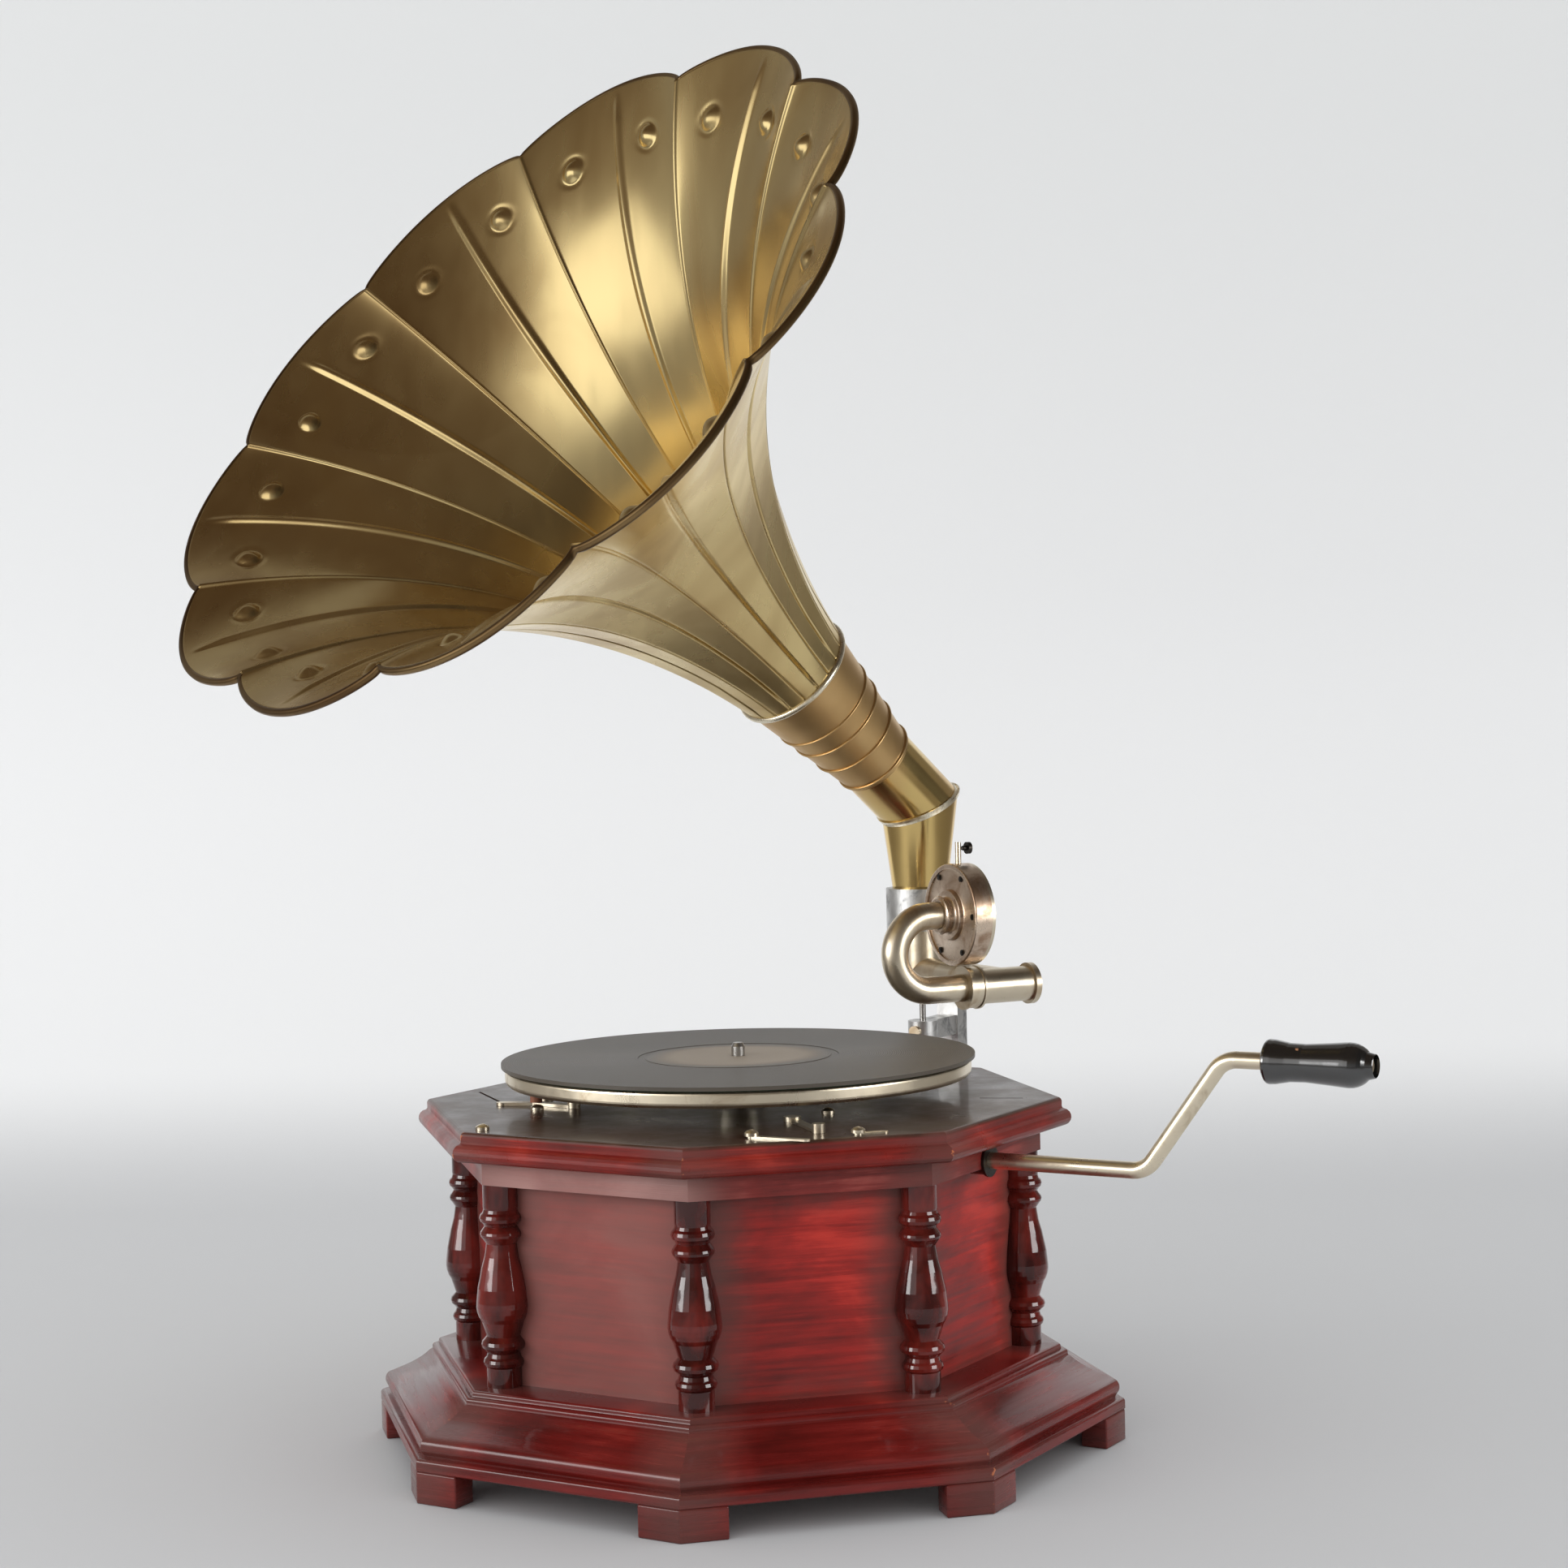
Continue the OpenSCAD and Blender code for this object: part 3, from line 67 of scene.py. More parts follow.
# Soft studio light: a wide pale wall of light at the left, a soft box at each side of the camera
# and an even room. The boxes light the case, the arm and the horn's elbow, but not its bell.
class Socket:
    """A node's output that takes part in Python expressions."""

    def __init__(self, finish, socket):
        self.finish, self.socket = finish, socket

    def math(self, operation, *others):
        return self.finish.node("ShaderNodeMath", {"operation": operation}, (self,) + others)

    def __add__(self, other):
        return self.math("ADD", other)

    def __sub__(self, other):
        return self.math("SUBTRACT", other)

    def __rsub__(self, other):
        return self.finish.node("ShaderNodeMath", {"operation": "SUBTRACT"}, (other, self))

    def __mul__(self, other):
        return self.math("MULTIPLY", other)

    def __truediv__(self, other):
        return self.math("DIVIDE", other)

    def __pow__(self, other):
        return self.math("POWER", other)

    def __abs__(self):
        return self.math("ABSOLUTE")

    __radd__ = __add__
    __rmul__ = __mul__


class Finish:
    """A material of one piece or of like pieces, or the room's light when given its world."""

    def __init__(self, name, world=None, **fixed):
        self.material = world or bpy.data.materials.new(name)
        self.material.use_nodes = True
        self.tree = self.material.node_tree
        self.shader = self.tree.nodes["Background" if world else "Principled BSDF"]
        self.set(**fixed)

    def node(self, kind, settings=None, inputs=(), output=0):
        made = self.tree.nodes.new(kind)
        for name, value in (settings or {}).items():
            if name == "stops":
                ramp = made.color_ramp
                while len(ramp.elements) < len(value):
                    ramp.elements.new(0.5)
                for element, (place, colour) in zip(ramp.elements, value):
                    element.position, element.color = place, (*colour, 1)
            else:
                setattr(made, name, value)
        for key, value in (inputs.items() if isinstance(inputs, dict) else enumerate(inputs)):
            self.feed(made.inputs[key], value)
        return Socket(self, made.outputs[output])

    def feed(self, socket, value):
        if isinstance(value, Socket):
            self.tree.links.new(value.socket, socket)
        elif isinstance(value, (tuple, list)) and len(value) == 3 and socket.type == "RGBA":
            socket.default_value = (*value, 1)
        else:
            socket.default_value = value

    def set(self, **values):
        for name, value in values.items():
            self.feed(self.shader.inputs[name.replace("_", " ")], value)

    def place(self, scale=(1, 1, 1)):
        where = self.node("ShaderNodeTexCoord", output="Object")
        return self.node("ShaderNodeMapping", {}, {"Vector": where, "Scale": scale})

    def axes(self, vector=None):
        split = self.node("ShaderNodeSeparateXYZ", {}, (vector or self.place(),))
        outputs = split.socket.node.outputs
        return [Socket(self, outputs[i]) for i in range(3)]

    def join(self, x, y, z):
        return self.node("ShaderNodeCombineXYZ", {}, (x, y, z))

    def noise(self, scale, detail=4.0, roughness=0.55, where=None, distortion=0.0):
        return self.node("ShaderNodeTexNoise", {}, {
            "Vector": where or self.place(), "Scale": scale, "Detail": detail,
            "Roughness": roughness, "Distortion": distortion})

    def between(self, value, low, high, start=0.0, end=1.0):
        """Start where the value is low, end where it is high, and a smooth step between."""
        return self.node("ShaderNodeMapRange", {"interpolation_type": "SMOOTHSTEP"},
                         (value, low, high, start, end))

    def mix(self, factor, first, second):
        made = self.tree.nodes.new("ShaderNodeMix")
        made.data_type = "RGBA"
        colours = [socket for socket in made.inputs if socket.type == "RGBA"]
        self.feed(made.inputs[0], factor)
        self.feed(colours[0], first)
        self.feed(colours[1], second)
        return Socket(self, [socket for socket in made.outputs if socket.type == "RGBA"][0])

    def bump(self, height, distance, strength=1.0):
        return self.node("ShaderNodeBump", {},
                         {"Height": height, "Distance": distance, "Strength": strength})

    def on(self, *pieces):
        for piece in pieces:
            piece = solids[piece] if isinstance(piece, str) else piece
            piece.data.materials.clear()
            piece.data.materials.append(self.material)


level = Vector((away.x, away.y, 0)).normalized()


def toward(turn):
    """A level direction; turn 0 goes to the camera and positive ones to its right."""
    return across * math.sin(turn) + level * math.cos(turn)


def lamp(name, azimuth, distance, low, high, width, radiance, lit=None):
    """An upright soft box between two heights, for all pieces or for one collection."""
    light = bpy.data.lights.new(name, "AREA")
    light.shape, light.size, light.size_y = "RECTANGLE", width, high - low
    light.energy = radiance * math.pi * width * (high - low)
    holder = bpy.data.objects.new(name, light)
    holder.location = toward(math.radians(azimuth)) * distance
    aim = -holder.location
    holder.location.z = (low + high) / 2
    holder.rotation_euler = aim.to_track_quat("-Z", "Y").to_euler()
    holder.visible_camera = False
    holder.light_linking.receiver_collection = lit
    bpy.context.collection.objects.link(holder)


case_and_arm = bpy.data.collections.new("case_and_arm")
for solid in solids.values():
    case_and_arm.objects.link(solid)
lamp("left_wall", azimuth=-55, distance=2.2, low=0.25, high=1.4, width=2.8, radiance=1.0)
for name, azimuth in (("left_box", -63), ("right_box", 63)):
    lamp(name, azimuth, distance=1.15, low=0.24, high=0.56, width=0.62, radiance=8.0,
         lit=case_and_arm)

# The room: an even pale light from all sides, a little darker overhead.
# Metal mirrors a darker room instead, warm above and nearly black at the far right.
world = bpy.data.worlds.new("room")
bpy.context.scene.world = world
room = Finish("room", world)
room_strength = 1.12
dark_turn = math.radians(75)
look = room.node("ShaderNodeTexCoord")
rise = room.axes(look)[2] * 0.5 + 0.5
soft = room.node("ShaderNodeValToRGB", {"stops": [
    (0.6, (1.0, 1.0, 1.0)), (0.9, (0.72, 0.725, 0.73))]}, (rise,))
mirrored = room.node("ShaderNodeValToRGB", {"stops": [
    (0.42, (0.2, 0.19, 0.18)), (0.52, (0.33, 0.325, 0.32)),
    (0.71, (0.15, 0.115, 0.085)), (0.86, (0.07, 0.045, 0.027))]}, (rise,))
toward_dark = room.node("ShaderNodeVectorMath", {"operation": "DOT_PRODUCT"},
                        (look, toward(dark_turn)), "Value")
mirrored = room.mix(room.between(toward_dark, 0.1, 0.7, 0.0, 0.7), mirrored, (0.0, 0.0, 0.0))
glossy = room.node("ShaderNodeLightPath", output="Is Glossy Ray")
room.set(Color=room.mix(glossy, soft, mirrored), Strength=room_strength)

# The backdrop: one sheet of paper sweeping up into a wall, with painted shade: grey on the
# floor, paler low on the wall and a little darker high up.
# Metal mirrors only its middle, and it is clear from behind so that the back can be seen.
floor_half = 3.0
sweep_start = 0.72
sweep_radius = 0.5
sweep_steps = 24
wall_height = 3.2
profile = [(-floor_half, 0.0)]
for i in range(sweep_steps + 1):
    sweep_turn = i * math.pi / 2 / sweep_steps
    profile.append((sweep_start + sweep_radius * math.sin(sweep_turn),
                    sweep_radius * (1 - math.cos(sweep_turn))))
profile.append((sweep_start + sweep_radius, wall_height))
verts = [across * s - level * d + Vector((0, 0, h))
         for d, h in profile for s in (-floor_half, floor_half)]
faces = [(2 * i, 2 * i + 1, 2 * i + 3, 2 * i + 2) for i in range(len(profile) - 1)]
sweep_mesh = bpy.data.meshes.new("backdrop")
sweep_mesh.from_pydata([tuple(v) for v in verts], [], faces)
for polygon in sweep_mesh.polygons:
    polygon.use_smooth = True
backdrop = bpy.data.objects.new("backdrop", sweep_mesh)
bpy.context.collection.objects.link(backdrop)

# Painted shade: grey on the floor, palest low on the wall and a little darker high up.
floor_shade_grey, wall_lit_low, wall_shaded_high = (0.64, 0.645, 0.655), (0.93, 0.935, 0.94), (0.8, 0.81, 0.81)
dark_surround = (0.22, 0.2, 0.18)
paper = Finish("paper_sweep", Roughness=0.9)
paper_x, paper_y, paper_height = paper.axes()
paper_light_shade = paper.mix(paper.between(paper_height, -0.01, 0.085), floor_shade_grey, wall_lit_low)
paper_light_shade = paper.mix(paper.between(paper_height, 0.3, 1.1), paper_light_shade, wall_shaded_high)
beside = abs(paper_x * across.x + paper_y * across.y)
before = paper_x * level.x + paper_y * level.y
off_middle = paper.between(beside, 0.8, 1.1).math("MAXIMUM", paper.between(before, 1.1, 1.5))
off_middle = off_middle.math("MAXIMUM", paper.between(paper_height, 1.15, 1.3))
glossy = paper.node("ShaderNodeLightPath", output="Is Glossy Ray")
seen = paper.node("ShaderNodeLightPath", output="Is Camera Ray")
behind = paper.node("ShaderNodeNewGeometry", output="Backfacing")
paper.set(Base_Color=paper.mix(off_middle * glossy, paper_light_shade, dark_surround),
          Alpha=1.0 - seen * behind)
paper.on(backdrop)

# The side boards: mahogany stained dark red-brown in brush strokes along each side. The front
# face is painted paler, partly wood pale from fading and partly a painted sheen, and each board
# is darker grey-brown towards its edges, beside its columns and at its top and bottom.
sides = 8
side_turn, half_side = 2 * math.pi / sides, math.pi / sides
panel_low, panel_high = 0.051, 0.154
border_reach = 0.018


def along_sides(finish):
    """Distance along a side, distance from the spindle to the side and height."""
    x, y, z = finish.axes()
    turn = finish.node("ShaderNodeMath", {"operation": "ARCTAN2"}, (y, x))
    side = (turn / side_turn).math("ROUND") * side_turn
    cosine, sine = side.math("COSINE"), side.math("SINE")
    return y * cosine - x * sine, x * cosine + y * sine, z


def mahogany(name, dark, red, bright, polish, streak=0.5, chips=0.0, grain_depth=0.00012,
             front_pale_and_sheen=None, coat=0.12, edge_darkening=0.55, framed=False):
    """Stained wood in three tones.

    Polish is its least roughness, streak the share of fine strokes, chips how far the mitred
    corners are chipped to orange wood, front_pale_and_sheen the front's paler colour, partly wood
    pale from fading and partly a painted sheen, and edge_darkening how much darker grey-brown the
    corners are, or with framed the whole border of a board."""
    wood = Finish(name, Coat_Roughness=0.07, Coat_IOR=1.5, Specular_IOR_Level=0.22)
    along, out, z = along_sides(wood)
    strokes = wood.noise(1.0, 4.0, 0.65, wood.join(along * 11, out * 25, z * 260), 0.25)
    broad = wood.noise(1.0, 4.0, 0.55, wood.join(along * 15 + 3.0, out * 14, z * 24), 0.5)
    pores = wood.noise(1.0, 3.0, 0.7, wood.join(along * 60, out * 600, z * 900))
    tone = wood.between(strokes * streak + broad * (1.0 - streak), 0.3, 0.66)
    colour = wood.mix(tone, dark, red)
    colour = wood.mix(wood.between(strokes * 0.6 + broad, 0.86, 1.08) * 0.7, colour, bright)
    colour = wood.mix(wood.between(pores, 0.55, 0.78) * 0.3, colour,
                      tuple(c * 0.4 for c in dark))
    edge = out * math.tan(half_side) - abs(along)
    border = edge
    if framed:
        border = border.math("MINIMUM", z - (panel_low - border_reach))
        border = border.math("MINIMUM", (panel_high + border_reach) - z)
    # Darker grey-brown towards the corners, or with framed towards a board's whole border.
    edge_mottle = wood.noise(1.0, 3.0, 0.6, wood.join(along * 40, out * 40, z * 40))
    colour = wood.mix(wood.between(border + edge_mottle * 0.02, 0.046, 0.014) * edge_darkening, colour,
                      (0.10, 0.045, 0.038))
    rough = wood.between(strokes, 0.3, 0.7, polish, polish + 0.14)
    # The front faces are painted paler and greyer: partly wood pale from fading, partly a painted
    # sheen.
    if front_pale_and_sheen:
        x, y, _ = wood.axes()
        toward_front = wood.between(y + abs(x) * 0.9, -0.06, -0.12)
        pale_sheen_patches = wood.between(broad + edge * -3.0, 0.3, 0.62)
        colour = wood.mix(toward_front * (pale_sheen_patches * 0.3 + 0.6), colour, front_pale_and_sheen)
        rough = rough + toward_front * 0.12
    if chips:
        worn = wood.noise(260.0, 3.0, 0.6) + wood.noise(60.0, 2.0, 0.5) * 0.6
        mask = wood.between(worn - edge * (60 / chips), 0.93, 0.99)
        colour = wood.mix(mask * 0.8, colour, (0.42, 0.13, 0.05))
        rough = rough + mask * 0.3
    wood.colour = colour
    wood.set(Base_Color=colour, Roughness=rough, Coat_Weight=coat,
             Normal=wood.bump(strokes * 0.7 + pores * 0.3, grain_depth, 0.7))
    return wood


panel_wood = mahogany("stained_side_boards", dark=(0.085, 0.010, 0.009), red=(0.32, 0.016, 0.012),
                      bright=(0.5, 0.034, 0.022), polish=0.3, streak=0.45,
                      front_pale_and_sheen=(0.2, 0.08, 0.068), edge_darkening=0.8, framed=True)
panel_wood.on("side_boards")

# The frieze: a mitred ring of mahogany under the top board.
# Its brush strokes are deeper, and its front face is painted a paler pinkish grey, partly wood
# pale from fading and partly a painted sheen.
frieze_wood = mahogany("stained_frieze", dark=(0.06, 0.010, 0.009), red=(0.2, 0.022, 0.018),
                       bright=(0.34, 0.085, 0.07), polish=0.34, grain_depth=0.0006,
                       front_pale_and_sheen=(0.34, 0.19, 0.17))
frieze_wood.on("frieze")

# The top board: moulded mahogany with chipped corners.
# Its face is dull dark grey-brown under and round the turntable, from dust and a painted shade of
# the turntable, and red near its edge.
top_face = 0.182
top_wood = mahogany("polished_top", dark=(0.055, 0.008, 0.006), red=(0.2, 0.013, 0.009),
                    bright=(0.34, 0.035, 0.022), polish=0.2, chips=1.0, coat=0.2)
top_x, top_y, top_z = top_wood.axes()
top_dust = top_wood.noise(28.0, 4.0, 0.65)
top_reach = (top_x * top_x + top_y * top_y) ** 0.5
# Dust and painted shade: darker brown under and round the turntable.
dust_and_shade_mask = (top_wood.between(top_z, top_face - 0.0025, top_face - 0.0005)
         * top_wood.between(top_reach + top_dust * 0.03, 0.2, 0.175))
shaded_dust_brown = top_wood.mix(top_wood.between(top_dust, 0.35, 0.7),
                         (0.026, 0.017, 0.010), (0.058, 0.042, 0.028))
top_wood.set(Base_Color=top_wood.mix(dust_and_shade_mask * 0.9, top_wood.colour, shaded_dust_brown),
             Roughness=top_wood.between(top_dust, 0.3, 0.7, 0.26, 0.42))
top_wood.on("top_board")

# The plinth's moulding: mahogany, its section swept round the eight sides with mitred corners.
# A flat base band, a thin bead, a swelled nose, a hollow slope and two thin beads at the top.
plinth_wood = mahogany("polished_plinth", dark=(0.05, 0.005, 0.004), red=(0.15, 0.010, 0.008),
                       bright=(0.28, 0.03, 0.02), polish=0.2, chips=1.6, coat=0.3)


def deselect():
    if bpy.context.object and bpy.context.object.mode != "OBJECT":
        bpy.ops.object.mode_set(mode="OBJECT")
    bpy.ops.object.select_all(action="DESELECT")


def settle(piece, matrix):
    """Puts a piece's place in its mesh and leaves the object at the origin."""
    piece.data.transform(matrix)
    piece.matrix_world = Matrix.Identity(4)
    piece.data.polygons.foreach_set("use_smooth", [True] * len(piece.data.polygons))
    piece.data.update()


def swept_ring(name, section, around, phase=0.0):
    """A closed ring round Z from its section's corner radii and heights in mm."""
    section = [(r / 1000, z / 1000) for r, z in section]
    deselect()
    bpy.ops.mesh.primitive_circle_add(vertices=around, radius=section[0][0],
                                      location=(0, 0, section[0][1]), rotation=(0, 0, phase))
    piece = bpy.context.object
    piece.name = name
    bpy.ops.object.transform_apply()
    bpy.ops.object.mode_set(mode="EDIT")
    bpy.ops.mesh.select_all(action="SELECT")
    for (r0, z0), (r1, z1) in zip(section, section[1:] + section[:1]):
        bpy.ops.mesh.extrude_edges_move()
        bpy.ops.transform.resize(value=(r1 / r0, r1 / r0, 1), center_override=(0, 0, 0))
        bpy.ops.transform.translate(value=(0, 0, z1 - z0))
    bpy.ops.mesh.select_all(action="SELECT")
    bpy.ops.mesh.remove_doubles(threshold=0.000004)
    bpy.ops.mesh.normals_make_consistent(inside=False)
    bpy.ops.object.mode_set(mode="OBJECT")
    bpy.ops.object.shade_smooth_by_angle(angle=math.radians(32))
    return piece


def bow(r, z, radius, start, end, steps):
    """Points of an arc in a section, from its middle, its radius and its angles in degrees."""
    turns = [math.radians(start + (end - start) * i / steps) for i in range(steps + 1)]
    return [(r + radius * math.cos(a), z + radius * math.sin(a)) for a in turns]


plinth_corner, plinth_inside = 203, 187
foot_height, plinth_height = 16, 51
case_corner, ledge_corner, ledge_height = 147.05, 138, 18
base_band = [(plinth_inside, foot_height), (plinth_corner - 0.6, foot_height),
             (plinth_corner, foot_height + 0.6), (plinth_corner, 20.2)]
base_bead = bow(200.8, 20.2, 2.2, 15, 90, 5) + [(198.7, 22.5), (198.0, 22.9)]
nose = bow(195.2, 27.8, 5.0, -48, 57, 11)
hollow = [(194.9, 33.1), (191.6, 34.5), (188.5, 35.8), (185.4, 37.2), (182.4, 38.8),
          (179.4, 40.6), (176.8, 42.5), (174.6, 44.4), (173.6, 44.8)]
lower_bead = bow(171.4, 46.2, 1.9, -20, 90, 6) + [(169.9, 48.2)]
upper_bead = bow(168.0, 49.4, 1.6, -10, 90, 5)
inner_wall = [(case_corner, plinth_height), (case_corner, ledge_height),
              (ledge_corner, ledge_height), (ledge_corner, 17.1), (plinth_inside, 17.1)]
moulding = swept_ring("plinth_moulding", base_band + base_bead + nose + hollow + lower_bead
                      + upper_bead + inner_wall, sides, half_side)
settle(moulding, Matrix.Identity(4))
plinth_wood.on(moulding)
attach(moulding, "case")
case_and_arm.objects.link(moulding)
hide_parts("plinth")

# The plinth's feet: eight mahogany brackets, one glued under each corner of the moulding.
# Each is an angle of two toes along the neighbouring sides, its edges worn round.
toe_length = 0.024
foot_wall = (plinth_corner - plinth_inside) / 1000 * math.cos(half_side)
foot_overlap = 0.00002
outer_corner = Vector((math.cos(half_side), math.sin(half_side), 0)) * plinth_corner / 1000
inner_corner = outer_corner * (plinth_inside / plinth_corner)
first_out = Vector((1, 0, 0))
next_out = Vector((math.cos(side_turn), math.sin(side_turn), 0))
first_toe = outer_corner + Vector((0, -1, 0)) * toe_length
next_toe = outer_corner + Vector((-math.sin(side_turn), math.cos(side_turn), 0)) * toe_length
plan = [outer_corner, next_toe, next_toe - next_out * foot_wall, inner_corner,
        first_toe - first_out * foot_wall, first_toe]


def repeated(first, count, pattern):
    """The piece and copies of it, each with a mesh and a numbered name of its own."""
    pieces = [first]
    for k in range(1, count):
        pieces.append(bpy.data.objects.new(pattern % (k + 1), first.data.copy()))
        bpy.context.collection.objects.link(pieces[-1])
    first.name = pattern % 1
    return pieces


deselect()
bpy.ops.mesh.primitive_circle_add(vertices=len(plan), radius=0.02, fill_type="NGON")
foot = bpy.context.object
for vertex, place in zip(foot.data.vertices, plan):
    vertex.co = place
bpy.ops.object.mode_set(mode="EDIT")
bpy.ops.mesh.select_all(action="SELECT")
bpy.ops.mesh.extrude_region_move(
    TRANSFORM_OT_translate={"value": (0, 0, foot_height / 1000 + foot_overlap)})
bpy.ops.mesh.select_all(action="SELECT")
bpy.ops.mesh.normals_make_consistent(inside=False)
bpy.ops.object.mode_set(mode="OBJECT")
worn = foot.modifiers.new("worn_edges", "BEVEL")
worn.width, worn.segments = 0.0009, 3
bpy.ops.object.modifier_apply(modifier="worn_edges")
for k, piece in enumerate(repeated(foot, sides, "plinth_foot_%d")):
    settle(piece, Matrix.Rotation(k * side_turn, 4, "Z"))
    plinth_wood.on(piece)
    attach(piece, "case")
    case_and_arm.objects.link(piece)
    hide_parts("plinth")

# The bottom board: plain pine, sawn and unpolished.
# It closes the case from below, inside the plinth.
pine = Finish("plain_pine", Roughness=0.7)
pine_x, pine_y, pine_z = pine.axes()
pine_grain = pine.noise(1.0, 4.0, 0.6, pine.join(pine_x * 6, pine_y * 90, pine_z * 90), 0.4)
pine.set(Base_Color=pine.mix(pine_grain, (0.3, 0.17, 0.08), (0.52, 0.35, 0.19)),
         Normal=pine.bump(pine_grain, 0.0004))
pine.on("bottom_board")

# Corner columns: turned hardwood, stained nearly black over red and thickly polished.
# Each is notched over its corner and stands between the plinth and the frieze.
column_wood = Finish("turned_columns", Coat_Roughness=0.06, Coat_IOR=1.5, Specular_IOR_Level=0.1)
column_x, column_y, column_z = column_wood.axes()
stain = column_wood.noise(1.0, 3.0, 0.6,
                          column_wood.join(column_x * 60, column_y * 60, column_z * 25), 0.3)
tool_rings = column_wood.noise(1.0, 2.0, 0.5,
                               column_wood.join(column_x * 8, column_y * 8, column_z * 900))
column_wood.set(Base_Color=column_wood.mix(column_wood.between(stain, 0.35, 0.7),
                                           (0.03, 0.004, 0.003), (0.13, 0.012, 0.008)),
                Roughness=column_wood.between(stain, 0.3, 0.7, 0.14, 0.24), Coat_Weight=0.9,
                Normal=column_wood.bump(tool_rings * 0.3 + stain * 0.7, 0.00015, 0.6))
column_wood.on("corner_columns")


# Tone arm, gooseneck, sound box front and levers: brass tube and castings, nickel plated, the
# plating worn to warm metal. Screws and push fits hold them.
def metal(name, clean, tarnish, share, cloud, shine, dull, relief=0.000012):
    """Plain metal under tarnish clouds and fine scratches; share is how much is tarnished."""
    made = Finish(name, Metallic=1.0)
    clouds = made.noise(cloud, 5.0, 0.62, made.place(), 0.5)
    scratch = made.noise(900.0, 2.0, 0.6, made.place((1, 1, 0.15)))
    spread = made.between(clouds, 0.62 - 0.3 * share, 0.78 - 0.2 * share)
    made.set(Base_Color=made.mix(spread, clean, tarnish),
             Roughness=made.between(clouds + scratch * 0.25, 0.35, 0.95, shine, dull),
             Normal=made.bump(clouds * 0.6 + scratch * 0.4, relief, 0.6))
    return made


nickel = metal("worn_nickel", clean=(0.74, 0.65, 0.5), tarnish=(0.5, 0.36, 0.21), share=0.5,
               cloud=22.0, shine=0.26, dull=0.42)
nickel.on("arm_tube", "arm_end_cap", "gooseneck", "soundbox_bezel", "stylus_bar", "pin_screw",
          "brake_lever", "brake_screw", "speed_lever", "board_screws")

# Platter, crank rod and the strips on the top board: steel in satin champagne plating.
# The platter is spun with a rolled rim, the rod is bent round bar with a nut on its end.
champagne = metal("satin_champagne", clean=(0.88, 0.78, 0.6), tarnish=(0.55, 0.43, 0.28),
                  share=0.3, cloud=40.0, shine=0.25, dull=0.42)
champagne.on("platter", "crank_rod", "board_strips", "crank_end_nut")

# The horn's bracket and the motor's small castings: zinc alloy with a mottled grey skin.
# The bracket is screwed to the back of the case and ends in the horn's socket.
zinc = metal("mottled_zinc", clean=(0.6, 0.6, 0.59), tarnish=(0.3, 0.3, 0.3), share=0.5,
             cloud=90.0, shine=0.3, dull=0.6, relief=0.0003)
zinc.on("back_bracket", "winding_bearing", "governor_bearings", "governor_weights")

# The spring motor: oiled steel plates, pillars and shafts hung under the top board, blued
# springs, brass wheels and a worm wheel of layered fibre.
steel = metal("oiled_steel", clean=(0.46, 0.45, 0.43), tarnish=(0.22, 0.17, 0.12), share=0.5,
              cloud=50.0, shine=0.22, dull=0.45)
steel.on("bracket_screws", "pivot_pin", "spindle", "motor_bottom_plate", "motor_top_plate",
         "motor_pillars", "motor_hangers", "spring_barrel", "winding_arbor", "governor_shaft")
blued = metal("blued_spring_steel", clean=(0.1, 0.12, 0.18), tarnish=(0.06, 0.05, 0.05),
              share=0.5, cloud=70.0, shine=0.2, dull=0.4)
blued.on("mainspring", "governor_springs")
turned_brass = metal("turned_brass", clean=(0.62, 0.44, 0.2), tarnish=(0.34, 0.2, 0.08),
                     share=0.5, cloud=60.0, shine=0.15, dull=0.35)
turned_brass.on("second_wheel", "governor_discs")
fibre = Finish("layered_fibre", Roughness=0.6)
fibre.set(Base_Color=fibre.mix(fibre.noise(200.0), (0.16, 0.07, 0.03), (0.32, 0.16, 0.08)))
fibre.on("worm_wheel")

# Bushes, thumb screw and sound box screws: steel blackened in oil.
# The bushes are pressed into the case's side and the top board.
blackened = metal("blackened_steel", clean=(0.05, 0.045, 0.04), tarnish=(0.1, 0.07, 0.05),
                  share=0.4, cloud=120.0, shine=0.3, dull=0.5)
blackened.on("crank_bush", "spindle_bush", "needle_screw", "soundbox_screws")

# The brake's pad: a small block of red-brown leather.
# It is fixed on the end of the brake lever, beside the platter's edge.
leather = Finish("brake_leather", Roughness=0.75)
hide = leather.noise(500.0, 3.0)
leather.set(Base_Color=leather.mix(hide, (0.16, 0.05, 0.025), (0.34, 0.13, 0.07)),
            Normal=leather.bump(hide, 0.0002))
leather.on("brake_pad")

# The sound box's diaphragm: a split disc of mica, held at its edge between two gaskets of
# white rubber.
rubber = Finish("white_gaskets", Roughness=0.6)
rubber.set(Base_Color=rubber.mix(rubber.noise(300.0), (0.6, 0.56, 0.48), (0.74, 0.71, 0.64)))
rubber.on("soundbox_gaskets")
mica = Finish("mica_sheet", Roughness=0.2)
mica.set(Base_Color=mica.mix(mica.noise(60.0, 5.0), (0.5, 0.4, 0.24), (0.72, 0.63, 0.45)))
mica.on("soundbox_diaphragm")

